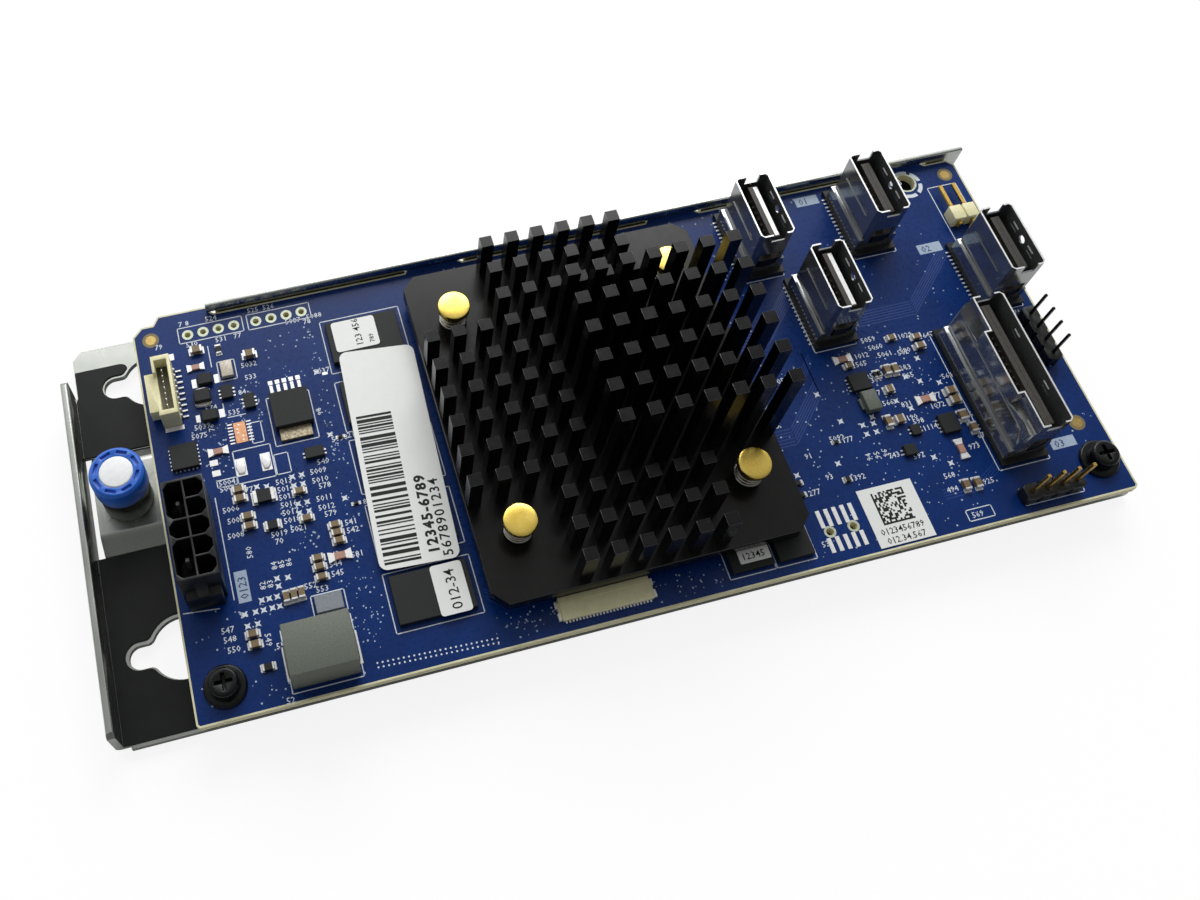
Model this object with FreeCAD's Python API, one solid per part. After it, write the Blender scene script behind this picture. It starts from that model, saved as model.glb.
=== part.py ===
import FreeCAD
import Part
import os
import math

# Driving sizes in millimetres. x runs along the board, y to the back, z up,
# and the board's front left corner lies at x = 0, y = 0 with its top at z = 0.

# circuit board
board_length = 148.5
board_depth = 65.9
board_thick = 1.6
tab_reach = 1.5
corner_radius = 1.5

# sheet-steel tray
sheet = 1.15
standoff_height = 3.6
tray_left = -12.15
tray_right_margin = 1.5
tray_front = 0.8
flange_rise = 1.6
back_rise = 2.2
back_thick = 0.75
bend_radius = 0.9
film_thick = 0.25
flange_gap = 0.2
bridge_rise = 2.2
back_flange_start = 12.5

# heatsink
fin_x = 2.0
fin_y = 1.9
fin_pitch_x = 4.26
fin_pitch_y = 4.9
fin_first_x = 45.65
fin_first_y = 6.8
fins_across = 12
sink_margin_front = 0.85
sink_margin_right = 0.5
sink_chamfer = 2.1
sink_base_bottom = 2.2
sink_base_thick = 2.8
short_fin_top = 13.0
tall_fin_top = 24.0
pin_span_x = 36.4
pin_span_y = 37.0
pin_head_top = 10.0
pin_head_radius = 2.55

# cable ports
port_height = 12.0
port_short = 12.35
port_long = 23.6
shell_wall = 0.3
ledge_width = 0.6
ledge_height = 3.6
long_bulge = 1.1
shoulder_z = 8.8
shell_corner = 0.6

# power header
cell_pitch = 3.0
power_height = 9.9
cell_wall = 0.28

# side header
side_height = 4.7
side_pitch = 1.04

# release plunger
barrel_roof = 0.7
plunger_x = -4.8
plunger_y = 38.0
barrel_radius = 3.85
knob_radius = 4.1
knob_height = 4.3
plunger_travel = 1.9
spring_wire = 0.3

# levels that follow
board_bottom = -board_thick
tray_top = board_bottom - standoff_height
tray_bottom = tray_top - sheet
film_top = tray_top + film_thick
tray_right = board_length + tray_right_margin
flange_in = board_depth + flange_gap
flange_out = flange_in + back_thick
tab_end = board_depth + tab_reach
sink_base_top = sink_base_bottom + sink_base_thick

# the part's own frame: centre of the outline at the tray's underside
SHIFT = FreeCAD.Vector(-(tray_left + tray_right) / 2.0, -tab_end / 2.0, -tray_bottom)

os.makedirs("parts", exist_ok=True)


def vec(x, y, z):
    return FreeCAD.Vector(x, y, z)


def box(x0, x1, y0, y1, z0, z1):
    return Part.makeBox(x1 - x0, y1 - y0, z1 - z0, vec(x0, y0, z0))


def block(cx, cy, lx, ly, z0, z1):
    return box(cx - lx / 2.0, cx + lx / 2.0, cy - ly / 2.0, cy + ly / 2.0, z0, z1)


def cyl(x, y, z0, z1, r):
    return Part.makeCylinder(r, z1 - z0, vec(x, y, z0))


def prism(points, z0, z1):
    ring = [vec(p[0], p[1], z0) for p in points]
    ring.append(ring[0])
    face = Part.Face(Part.makePolygon(ring))
    return face.extrude(vec(0, 0, z1 - z0))


def side_prism(points, x0, x1):
    ring = [vec(x0, p[0], p[1]) for p in points]
    ring.append(ring[0])
    face = Part.Face(Part.makePolygon(ring))
    return face.extrude(vec(x1 - x0, 0, 0))


def end_prism(points, y0, y1):
    ring = [vec(p[0], y0, p[1]) for p in points]
    ring.append(ring[0])
    face = Part.Face(Part.makePolygon(ring))
    return face.extrude(vec(0, y1 - y0, 0))


def fuse(shapes):
    first = shapes[0]
    if len(shapes) == 1:
        return first
    return first.fuse(shapes[1:]).removeSplitter()


def cut(shape, tools):
    return shape.cut(tools).removeSplitter()


def upright_edges(shape, x=None, y=None, reach=0.3):
    found = []
    for edge in shape.Edges:
        a = edge.Vertexes[0].Point
        b = edge.Vertexes[-1].Point
        if abs(a.x - b.x) > 1e-6 or abs(a.y - b.y) > 1e-6 or edge.Length < 0.2:
            continue
        if x is None or (abs(a.x - x) < reach and abs(a.y - y) < reach):
            found.append(edge)
    return found


def edges_along_x(shape, y, z):
    found = []
    for edge in shape.Edges:
        box_of = edge.BoundBox
        level = box_of.ZMax - box_of.ZMin < 1e-4 and box_of.YMax - box_of.YMin < 1e-4
        if level and abs(box_of.YMin - y) < 1e-3 and abs(box_of.ZMin - z) < 1e-3:
            found.append(edge)
    return found


def coil(x, y, z0, z1, radius, wire, turns):
    steps = 10
    half = wire / 2.0
    rise = (z1 - z0 - wire) / (turns * steps)
    sections = []
    for k in range(int(turns * steps) + 1):
        turn = math.degrees(2 * math.pi * k / steps)
        level = z0 + half + rise * k
        corners = [vec(radius - half, 0, level - half), vec(radius + half, 0, level - half),
                   vec(radius + half, 0, level + half), vec(radius - half, 0, level + half)]
        corners.append(corners[0])
        section = Part.makePolygon(corners)
        section.rotate(vec(0, 0, 0), vec(0, 0, 1), turn)
        section.translate(vec(x, y, 0))
        sections.append(section)
    return Part.makeLoft(sections, True, True)


def many_sided(x, y, z0, z1, r, sides=12):
    ring = []
    for k in range(sides):
        angle = 2 * math.pi * (k + 0.5) / sides
        ring.append((x + r * math.cos(angle), y + r * math.sin(angle)))
    return prism(ring, z0, z1)


def save(name, shapes):
    if not isinstance(shapes, list):
        shapes = [shapes]
    moved = []
    for shape in shapes:
        part = shape.copy()
        part.translate(SHIFT)
        moved.append(part)
    if len(moved) == 1:
        result = moved[0]
    else:
        result = Part.makeCompound(moved)
    result.exportStep("parts/" + name + ".step")


def right(distance):
    return board_length - distance


# Places shared by several pieces
tabs = [(4.0, 13.6), (46.7, 56.4), (90.0, 99.6), (right(21.8), right(5.4))]
screw_places = [(4.9, 4.8), (right(3.9), 5.8)]
sink_centre_x = fin_first_x + fin_pitch_x * (fins_across - 1) / 2.0
sink_centre_y = fin_first_y + fin_pitch_y * (fins_across - 1) / 2.0
pin_places = []
for side_x in (-1, 1):
    for side_y in (-1, 1):
        pin_places.append((sink_centre_x + side_x * pin_span_x / 2.0,
                           sink_centre_y + side_y * pin_span_y / 2.0))


# Tray: flat base, two flanges, keyholes, relief slot and the lanced bridge
def keyhole(narrow_x, y, narrow_r, wide_x, wide_r, z0, z1):
    slot = box(narrow_x, wide_x, y - narrow_r, y + narrow_r, z0, z1)
    end = cyl(narrow_x, y, z0, z1, narrow_r)
    wide = cyl(wide_x, y, z0, z1, wide_r)
    hole = slot.fuse([end, wide]).removeSplitter()
    neck_x = wide_x - math.sqrt(wide_r ** 2 - narrow_r ** 2)
    necks = upright_edges(hole, neck_x, y - narrow_r) + upright_edges(hole, neck_x, y + narrow_r)
    return hole.makeFillet(1.2, necks)


key_back = (-4.5, 58.75, 1.85, 1.3, 4.4)
key_front = (-6.7, 13.5, 1.8, -0.45, 4.75)
film_key_back = (-4.5, 58.9, 2.1, 1.3, 4.7)
film_key_front = (-6.85, 13.7, 2.15, -0.6, 5.05)
flange_inner_x = tray_left + sheet
bridge_x0 = flange_inner_x + 1.15
bridge_x1 = 2.0
bridge_y0 = 30.0
bridge_y1 = 47.0
flange_end = 58.2
base_left = -10.75
ramp = 2.6
bridge_top = tray_top + bridge_rise
flange_top = flange_rise

relief_x = flange_inner_x + 1.1
flange_front = tray_front + 0.6

base = prism([(relief_x, tray_front), (tray_right, tray_front), (tray_right, flange_out),
              (base_left + 1.5, flange_out), (base_left, flange_out - 1.5),
              (base_left, flange_end), (tray_left, flange_end), (tray_left, flange_front),
              (relief_x, flange_front)], tray_bottom, tray_top)
left_flange = side_prism([(flange_front, tray_bottom), (flange_end, tray_bottom),
                          (flange_end, flange_top - 0.6), (flange_end - 0.6, flange_top),
                          (flange_front + 0.8, flange_top), (flange_front, flange_top - 0.8)],
                         tray_left, flange_inner_x)
round_edges = []
for edge in left_flange.Edges:
    if edge.BoundBox.ZMin > flange_top - 0.01 and edge.Length > 10:
        round_edges.append(edge)
left_flange = left_flange.makeFillet(0.4, round_edges)
back_flange = box(back_flange_start, tray_right, flange_in, flange_out, tray_bottom, back_rise)
round_edges = edges_along_x(back_flange, flange_in, back_rise)
round_edges += edges_along_x(back_flange, flange_out, back_rise)
back_flange = back_flange.makeFillet(back_thick * 0.35, round_edges)
slots = []
for tab in tabs:
    slots.append(box(tab[0] - 0.35, tab[1] + 0.35, flange_in - 1, flange_out + 1,
                     board_bottom, 0.35))
back_flange = cut(back_flange, slots)

window = box(flange_inner_x, bridge_x1, bridge_y0 - 0.01, bridge_y1 + 0.01,
             tray_bottom - 1, tray_top + 1)
side_slot = box(bridge_x1 - 0.01, bridge_x1 + 0.8, bridge_y0 + ramp, bridge_y1 - ramp,
                tray_bottom - 1, tray_top + 1)
relief = box(flange_inner_x, bridge_x0, 27.8, 47.4, tray_bottom - 1, tray_top + 1)
bridge_profile = [(bridge_y0 - 0.01, tray_bottom), (bridge_y0, tray_top),
                  (bridge_y0 + ramp, bridge_top), (bridge_y1 - ramp, bridge_top),
                  (bridge_y1, tray_top), (bridge_y1 + 0.01, tray_bottom),
                  (bridge_y1 - 0.9, tray_bottom), (bridge_y1 - ramp - 0.5, bridge_top - sheet),
                  (bridge_y0 + ramp + 0.5, bridge_top - sheet), (bridge_y0 + 0.9, tray_bottom)]
bridge = side_prism(bridge_profile, bridge_x0, bridge_x1)
outer_bends = edges_along_x(bridge, bridge_y0 + ramp, bridge_top)
outer_bends += edges_along_x(bridge, bridge_y1 - ramp, bridge_top)
bridge = bridge.makeFillet(sheet + 0.4, outer_bends)
holes = [keyhole(*key_back, tray_bottom - 1, tray_top + 1),
         keyhole(*key_front, tray_bottom - 1, tray_top + 1),
         window, side_slot, relief]
tray = cut(base, holes)
tray = fuse([tray, left_flange, back_flange, bridge])
bend = []
for edge in tray.Edges:
    around = edge.BoundBox
    low_line = around.ZMax < tray_bottom + 0.01 and edge.Length > 20
    if low_line and (around.XMax < tray_left + 0.01 or around.YMin > flange_out - 0.01):
        bend.append(edge)
tray = tray.makeFillet(bend_radius, bend)
tray = cut(tray, [cyl(plunger_x, plunger_y, tray_bottom - 1, bridge_top + 1, 1.5)])
save("tray", tray)

# Insulator film, cut clear of the keyholes, the bridge and the standoffs
film_left = flange_inner_x + 0.05
film_front = tray_front + 0.55
film_back = 63.0
finger_y = (film_back + film_key_back[1] + film_key_back[2]) / 2.0
finger_x = -3.1
film = prism([(film_left, film_front), (board_length - 1.0, film_front),
              (board_length - 1.0, film_back), (base_left + 0.1, film_back),
              (base_left + 0.1, flange_end), (film_left, flange_end - 0.7)],
             tray_top, film_top)
finger_end = box(finger_x, 1.0, 60.0, 64.0, tray_top - 1, film_top + 1)
finger_end = finger_end.cut(cyl(finger_x, finger_y, tray_top - 2, film_top + 2, 0.93))
film_cuts = [keyhole(*film_key_back, tray_top - 1, film_top + 1), finger_end,
             keyhole(*film_key_front, tray_top - 1, film_top + 1),
             box(film_left - 1, bridge_x1 + 1.0, bridge_y0 - 0.1, bridge_y1 + 0.2,
                 tray_top - 1, film_top + 1)]
for place in screw_places:
    film_cuts.append(cyl(place[0], place[1], tray_top - 1, film_top + 1, 2.8))
film = cut(film, film_cuts)
save("insulator_film", film)

# Standoffs, washers and screws at the two front corners
standoffs = []
washers = []
screws = []
for place in screw_places:
    post = cyl(place[0], place[1], tray_top, board_bottom, 2.5)
    post = cut(post, [many_sided(place[0], place[1], tray_top - 1, board_bottom + 1, 1.25)])
    standoffs.append(post)
    disc = cyl(place[0], place[1], 0, 0.7, 3.15)
    disc = cut(disc, [many_sided(place[0], place[1], -1, 1, 1.6)])
    disc = disc.makeChamfer(0.25, [e for e in disc.Edges if e.BoundBox.ZMin > 0.6
                                   and e.Length > 15])
    washers.append(disc)
    head = cyl(place[0], place[1], 0.7, 2.9, 2.15)
    head = head.makeChamfer(0.3, [e for e in head.Edges if e.BoundBox.ZMin > 2.8])
    cross_a = block(place[0], place[1], 2.6, 0.55, 1.6, 3.2)
    cross_b = block(place[0], place[1], 0.55, 2.6, 1.6, 3.2)
    head = head.cut([cross_a, cross_b])
    shank = many_sided(place[0], place[1], tray_top + 0.4, 0.7, 1.25)
    screws.append(fuse([head, shank]))
save("board_standoffs", standoffs)
save("screw_washers", washers)
save("board_screws", screws)

# Circuit board with the tabs that reach through the back flange
outline = [(corner_radius * 0.3, 0), (board_length - corner_radius * 0.3, 0),
           (board_length, corner_radius * 0.3), (board_length, board_depth - 1.2),
           (board_length - 1.2, board_depth)]
for tab in reversed(tabs):
    outline.append((tab[1], board_depth))
    outline.append((tab[1] - 0.5, board_depth + 0.4))
    outline.append((tab[1] - 0.5, tab_end))
    outline.append((tab[0] + 0.5, tab_end))
    outline.append((tab[0] - 0.5, board_depth))
outline.append((1.6, board_depth))
outline.append((0, board_depth - 1.6))
outline.append((0, corner_radius * 0.3))
board = prism(outline, board_bottom, 0)
drills = []
for place in screw_places:
    drills.append(cyl(place[0], place[1], board_bottom - 1, 1, 1.6))
for place in pin_places:
    drills.append(many_sided(place[0], place[1], board_bottom - 1, 1, 1.55))
drills.append(cyl(right(10.5), board_depth - 2.9, board_bottom - 1, 1, 1.7))
for i in range(4):
    drills.append(many_sided(8.8 + 2.54 * i, 62.8, board_bottom - 1, 1, 0.5, 10))
    drills.append(many_sided(20.1 + 2.54 * i, 62.7, board_bottom - 1, 1, 0.5, 10))
drills.append(many_sided(98.1, 5.1, board_bottom - 1, 1, 0.6, 10))
drills.append(many_sided(102.0, 5.1, board_bottom - 1, 1, 0.6, 10))
board = cut(board, drills)
save("circuit_board", board)

# Heatsink: plate with chamfered corners, short fins all round, tall fins in the middle right
sink_x0 = fin_first_x - fin_x / 2.0 - 0.15
sink_x1 = fin_first_x + fin_pitch_x * (fins_across - 1) + fin_x / 2.0 + sink_margin_right
sink_y0 = fin_first_y - fin_y / 2.0 - sink_margin_front
sink_y1 = fin_first_y + fin_pitch_y * (fins_across - 1) + fin_y / 2.0 + 0.15
chamfer = sink_chamfer
plate = prism([(sink_x0 + chamfer, sink_y0), (sink_x1 - chamfer, sink_y0),
               (sink_x1, sink_y0 + chamfer), (sink_x1, sink_y1 - chamfer),
               (sink_x1 - chamfer, sink_y1), (sink_x0 + chamfer, sink_y1),
               (sink_x0, sink_y1 - chamfer), (sink_x0, sink_y0 + chamfer)],
              sink_base_bottom, sink_base_top)
for place in pin_places:
    plate = plate.cut(many_sided(place[0], place[1], sink_base_bottom - 1, sink_base_top + 1, 1.6))
fins = []
for i in range(fins_across):
    for k in range(fins_across):
        at_corner_x = i < 3 or i > fins_across - 4
        at_corner_y = k < 3 or k > fins_across - 4
        if at_corner_x and at_corner_y:
            continue
        is_tall = i > 4 and 2 < k < 9
        top = tall_fin_top if is_tall else short_fin_top
        fins.append(block(fin_first_x + fin_pitch_x * i, fin_first_y + fin_pitch_y * k,
                          fin_x, fin_y, sink_base_top, top))
heatsink = plate.fuse(fins).removeSplitter()
save("heatsink", heatsink)

# Controller package and thermal pad between the board and the heatsink
chip = block(sink_centre_x, sink_centre_y, 31.0, 31.0, 0, 1.2)
lid = block(sink_centre_x, sink_centre_y, 24.0, 24.0, 1.2, sink_base_bottom - 0.3)
save("controller_chip", fuse([chip, lid]))
save("thermal_pad", block(sink_centre_x, sink_centre_y, 23.0, 23.0,
                          sink_base_bottom - 0.3, sink_base_bottom))

# Push pins with barbed ends under the board, and their springs
pins = []
springs = []
for place in pin_places:
    head = cyl(place[0], place[1], pin_head_top - 1.1, pin_head_top, pin_head_radius)
    neck = many_sided(place[0], place[1], board_bottom - 0.3, pin_head_top - 1.1, 1.1)
    barb = many_sided(place[0], place[1], board_bottom - 1.3, board_bottom, 1.9)
    barb = barb.makeChamfer(1.2, [e for e in barb.Edges if e.BoundBox.ZMax < board_bottom - 1.2])
    pins.append(fuse([head, neck, barb]))
    springs.append(coil(place[0], place[1], sink_base_top, pin_head_top - 1.1, 2.0, 0.42, 4.0))
save("push_pins", pins)
save("push_pin_springs", springs)

# Power header: ten cells, two of them joined in pairs on the left, latch at the front
power_x0 = 1.5
power_x1 = power_x0 + 2 * cell_pitch + 0.1
power_y1 = 33.5
power_y0 = power_y1 - 5 * cell_pitch - 0.5
power_body = box(power_x0, power_x1, power_y0, power_y1, 0, power_height)
power_foot = box(power_x0 + 0.5, power_x1 - 0.5, power_y0 - 1.3, power_y0, 0, 5.0)
power_latch = side_prism([(power_y0, 5.0), (power_y0 - 1.1, 5.0), (power_y0, 8.2)],
                         power_x0 + 2.2, power_x1 - 2.2)
cells = []
cell_half = (cell_pitch - cell_wall) / 2.0


def cell(cx, y0, y1, flat_left):
    c = 0.8
    x0 = cx - cell_half
    x1 = cx + cell_half
    if flat_left:
        pts = [(x0, y0), (x1 - c, y0), (x1, y0 + c), (x1, y1 - c), (x1 - c, y1), (x0, y1)]
    else:
        pts = [(x0 + c, y0), (x1, y0), (x1, y1), (x0 + c, y1), (x0, y1 - c), (x0, y0 + c)]
    return prism(pts, 1.6, power_height + 1)


left_x = power_x0 + 0.05 + cell_pitch / 2.0
right_x = left_x + cell_pitch
power_first_y = power_y0 + 0.25 + cell_pitch / 2.0
for k in range(5):
    mid = power_first_y + cell_pitch * k
    cells.append(cell(right_x, mid - cell_half, mid + cell_half, True))
for first, last in ((0, 1), (2, 2), (3, 4)):
    low = power_first_y + cell_pitch * first - cell_half
    high = power_first_y + cell_pitch * last + cell_half
    cells.append(cell(left_x, low, high, False))
power_housing = cut(fuse([power_body, power_foot, power_latch]), cells)
power_pins = []
pin_bores = []
for k in range(5):
    for cx in (left_x, right_x):
        mid = power_first_y + cell_pitch * k
        power_pins.append(block(cx, mid, 0.64, 0.64, 0, 5.2))
        pin_bores.append(block(cx, mid, 0.64, 0.64, -0.1, 1.7))
power_housing = cut(power_housing, pin_bores)
save("power_header_housing", power_housing)
save("power_header_pins", power_pins)


# Upright cable ports: drawn steel shell on a ledge, round a black insulator with a tongue
def port_tube(x0, x1, y0, y1, bulge, grow, z0, z1, corner):
    left = x0 - bulge
    near = y0 + (y1 - y0) * 0.26
    far = y0 + (y1 - y0) * 0.74
    body = box(left - grow, x1 + grow, y0 - grow, y1 + grow, z0, z1)
    body = body.makeChamfer(corner, upright_edges(body))
    if not bulge:
        return body
    reach = bulge + 1.0
    for low, high in ((y0 - 1.0, near - grow), (far + grow, y1 + 1.0)):
        shoulder = end_prism([(left - reach, shoulder_z), (left - grow, shoulder_z),
                              (x0 - grow, shoulder_z + 1.6), (x0 - grow, z1 + 1),
                              (left - reach, z1 + 1)], low, high)
        body = body.cut(shoulder)
    return body


def port_shell(x0, x1, y0, y1, bulge):
    left = x0 - bulge
    middle = (y0 + y1) / 2.0
    tube = port_tube(x0, x1, y0, y1, bulge, 0, ledge_height - 0.5, port_height, shell_corner)
    low = box(left - ledge_width, x1 + 0.35, y0 + 0.25, y1 - 0.25, 0.9, ledge_height)
    hollow = port_tube(x0, x1, y0, y1, bulge, -shell_wall, 2.0, port_height + 1,
                       shell_corner - shell_wall)
    under = box(left - ledge_width + shell_wall, x1 + 0.35 - shell_wall,
                y0 + 0.25 + shell_wall, y1 - 0.25 - shell_wall, 0.5, ledge_height - shell_wall)
    notch_low = port_height - 1.9
    tools = [hollow, under,
             box(x1 - 3.9, x1 - 1.5, y0 - 1, y0 + 0.8, notch_low, port_height + 1),
             box(x1 - 3.9, x1 - 1.5, y1 - 0.8, y1 + 1, notch_low, port_height + 1),
             box(x0 + 1.2, x1 - 1.2, y0 - 1, y0 + 0.8, 2.4, 6.4)]
    if not bulge:
        tools.append(Part.makeCylinder(0.7, 2, vec(x1 - 1, middle, port_height - 2.1), vec(1, 0, 0)))
    for place in (y0 + (y1 - y0) * 0.28, y0 + (y1 - y0) * 0.72):
        tools.append(box(left - 1, left + 1, place - 0.9, place + 0.9,
                         port_height - 3.1, port_height - 2.9))
        tools.append(box(x1 - 1, x1 + 1, place - 0.9, place + 0.9,
                         port_height - 2.6, port_height - 2.4))
    beads = [box(left - 0.15, left, y0 + 2.2, y1 - 2.0, 8.0, 8.3)]
    return cut(fuse([tube, low] + beads), tools)


def port_housing(x0, x1, y0, y1, bulge):
    left = x0 - bulge
    w = shell_wall
    base_block = box(left - ledge_width - 0.3, x1 + 0.8, y0 - 0.8, y1 + 0.8, 0, 0.9)
    core = box(left - ledge_width + w, x1 + 0.35 - w, y0 + 0.25 + w, y1 - 0.25 - w,
               0.9, ledge_height - w)
    plug = port_tube(x0, x1, y0, y1, bulge, -w, ledge_height - w, 4.2, shell_corner - w)
    latch = box(x0 + 1.7, x1 - 1.7, y0 + 0.1, y0 + w, 2.4, 4.4)
    tongue = box(x1 - 3.5, x1 - 1.95, y0 + 1.0, y1 - 1.0, 4.2, port_height - 2.0)
    ribs = []
    count = int((y1 - y0 - 4.0) / 1.2)
    for k in range(count):
        y = (y0 + y1) / 2.0 + 1.2 * (k - (count - 1) / 2.0)
        ribs.append(box(x1 - 3.75, x1 - 3.5, y - 0.2, y + 0.2, 4.2, port_height - 3.0))
    return fuse([base_block, core, plug, latch, tongue] + ribs)


ports = [("port_1", right(46.1), right(40.1), 51.15, 51.15 + port_short, 0),
         ("port_2", right(25.4), right(19.4), 51.15, 51.15 + port_short, 0),
         ("port_3", right(39.2), right(33.2), 35.75, 35.75 + port_short, 0),
         ("port_4", right(8.8), right(2.8), 35.7, 35.7 + port_short, 0),
         ("port_5", right(17.7), right(12.4), 9.1, 9.1 + port_long, long_bulge)]
for name, x0, x1, y0, y1, bulge in ports:
    save(name + "_shell", port_shell(x0, x1, y0, y1, bulge))
    save(name + "_housing", port_housing(x0, x1, y0, y1, bulge))

# Cream nine-way header with its opening to the left
side_y0 = 46.95
side_y1 = 57.5
side_x0 = 2.6
side_x1 = 5.5
side_pin_x = 3.95
side_pin_y = [48.1 + side_pitch * k for k in range(9)]
side_body = box(side_x0, side_x1, side_y0, side_y1, 0, side_height)
side_ledge = box(1.1, side_x0 + 0.1, 48.4, 55.2, 0.5, 3.3)
side_cavity = box(side_x0 + 0.45, side_x1 - 0.5, side_y0 + 0.8, side_y1 - 0.8, 2.2, 6.0)
side_mouth = box(side_x0 - 0.1, side_x0 + 0.6, 49.2, 54.6, 3.3, 6.0)
side_bores = []
side_pins = []
for y in side_pin_y:
    side_bores.append(box(side_pin_x - 0.1, side_x1 + 0.1, y - 0.15, y + 0.15, 1.0, 1.3))
    side_bores.append(box(side_pin_x - 0.1, side_pin_x + 0.1, y - 0.15, y + 0.15, 1.0, 2.4))
    lead = box(side_x1, side_x1 + 1.2, y - 0.15, y + 0.15, 0, 0.3)
    rise = box(side_x1, side_x1 + 0.3, y - 0.15, y + 0.15, 0, 1.3)
    blade = box(side_pin_x - 0.1, side_x1, y - 0.15, y + 0.15, 1.0, 1.3)
    post = box(side_pin_x - 0.1, side_pin_x + 0.1, y - 0.15, y + 0.15, 1.0, 3.6)
    side_pins.append(fuse([lead, rise, blade, post]))
save("side_header_housing", cut(fuse([side_body, side_ledge]),
                                [side_cavity, side_mouth] + side_bores))
save("side_header_pins", side_pins)

# Low beige flat-cable header
flat_body = box(54.2, 68.3, 1.8, 5.2, 0, 1.1)
flat_lip = [box(53.9, 54.3, 2.2, 4.6, 0, 0.7), box(68.2, 68.6, 2.2, 4.6, 0, 0.7)]
save("flat_cable_header", fuse([flat_body] + flat_lip))

# Two-way right-angle header
angle_x = [right(5.8), right(3.3)]
angle_base = []
angle_pins = []
for x in angle_x:
    cube = block(x, 53.6, 2.2, 2.8, 0, 2.6)
    angle_base.append(cut(cube, [block(x, 53.6, 0.64, 4.0, 1.2, 1.84)]))
    long_pin = block(x, 55.9, 0.64, 8.2, 1.2, 1.84)
    foot_pin = block(x, 51.88, 0.64, 0.64, 0, 1.84)
    angle_pins.append(fuse([long_pin, foot_pin]))
angle_bar = box(angle_x[0] + 1.1, angle_x[1] - 1.1, 52.8, 54.6, 0, 2.2)
save("angle_header_base", fuse(angle_base + [angle_bar]))
save("angle_header_pins", angle_pins)


# Four-way straight headers
def straight_header(name, places, top, wide):
    bodies = []
    posts = []
    for x, y in places:
        body = prism([(x - 1.27, y - 0.85), (x - 0.85, y - 1.27), (x + 0.85, y - 1.27),
                      (x + 1.27, y - 0.85), (x + 1.27, y + 0.85), (x + 0.85, y + 1.27),
                      (x - 0.85, y + 1.27), (x - 1.27, y + 0.85)], 0, 2.5)
        bodies.append(body.cut(block(x, y, wide, wide, -1, 4)))
        posts.append(block(x, y, wide, wide, 0, top))
    save(name + "_base", fuse(bodies))
    save(name + "_pins", posts)


straight_header("edge_header", [(right(3.1), 24.25 + 2.54 * k) for k in range(4)], 8.3, 0.46)
straight_header("front_header", [(right(18.2) + 2.54 * k, 2.9) for k in range(4)], 8.4, 0.56)

# Memory packages
memory = []
for k in range(5):
    memory.append(block(36.8, 10.7 + 11.1 * k, 11.8, 7.5, 0, 1.1))
save("memory_chips", memory)
save("front_memory_chips", [box(81.0, 87.7, 2.3, 12.3, 0, 1.1),
                            box(88.5, 94.2, 2.3, 12.3, 0, 1.1)])


# Chokes: moulded body with the two terminal strips at its sides
def choke(x0, x1, y0, y1, top, strip):
    body = box(x0, x1, y0, y1, 0, top)
    mid = (y0 + y1) / 2.0
    half = (y1 - y0) * 0.28
    ends = [box(x0 - strip, x0, mid - half, mid + half, 0, top * 0.35),
            box(x1, x1 + strip, mid - half, mid + half, 0, top * 0.35)]
    return fuse([body] + ends)


save("power_choke", choke(14.15, 23.95, 1.95, 9.45, 7.4, 0.3))
save("small_chokes", choke(right(36.6), right(34.2), 22.1, 25.6, 1.6, 0.45))

# Power transistor: moulded body, tab at the front, five leads at the back
save("transistor_body", box(19.5, 25.6, 42.1, 48.2, 0.15, 1.7))
tab_metal = box(20.0, 25.1, 40.1, 42.1, 0, 0.6)
tab_under = box(20.0, 25.1, 42.1, 47.6, 0, 0.15)
leads = [tab_metal, tab_under]
for k in range(5):
    x = 20.2 + 1.12 * k
    leads.append(box(x - 0.3, x + 0.3, 48.2, 50.2, 0, 0.3))
    leads.append(box(x - 0.3, x + 0.3, 47.6, 48.2, 0, 0.15))
transistor_tab = fuse(leads[:2])
save("transistor_tab", [transistor_tab] + [fuse(leads[2 + 2 * k:4 + 2 * k]) for k in range(5)])

# Small packages: centre x, centre y, length, depth, height
packages = [(4.9, 41.2, 4.2, 4.2, 0.9), (13.2, 50.7, 1.9, 2.3, 0.8), (16.4, 48.3, 1.7, 2.6, 0.8),
            (24.6, 37.0, 3.0, 1.8, 0.9), (21.7, 13.0, 4.1, 2.6, 0.9),
            (right(35.6), 27.6, 3.3, 3.0, 1.0), (right(24.6), 17.3, 2.9, 3.3, 0.9),
            (right(30.2), 17.6, 1.6, 1.8, 0.6), (right(32.7), 14.5, 2.0, 1.8, 0.9)]
save("logic_chips", [block(x, y, a, b, 0, h) for x, y, a, b, h in packages])
diode_list = [(10.2, 53.7, 2.3, 1.9, 1.1), (9.3, 50.75, 2.6, 2.2, 1.4), (9.9, 47.2, 2.5, 1.9, 1.1)]
save("diodes", [block(x, y, a, b, 0, h) for x, y, a, b, h in diode_list])
save("oscillator_can", block(13.9, 54.8, 1.9, 2.9, 0, 0.9))

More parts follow.
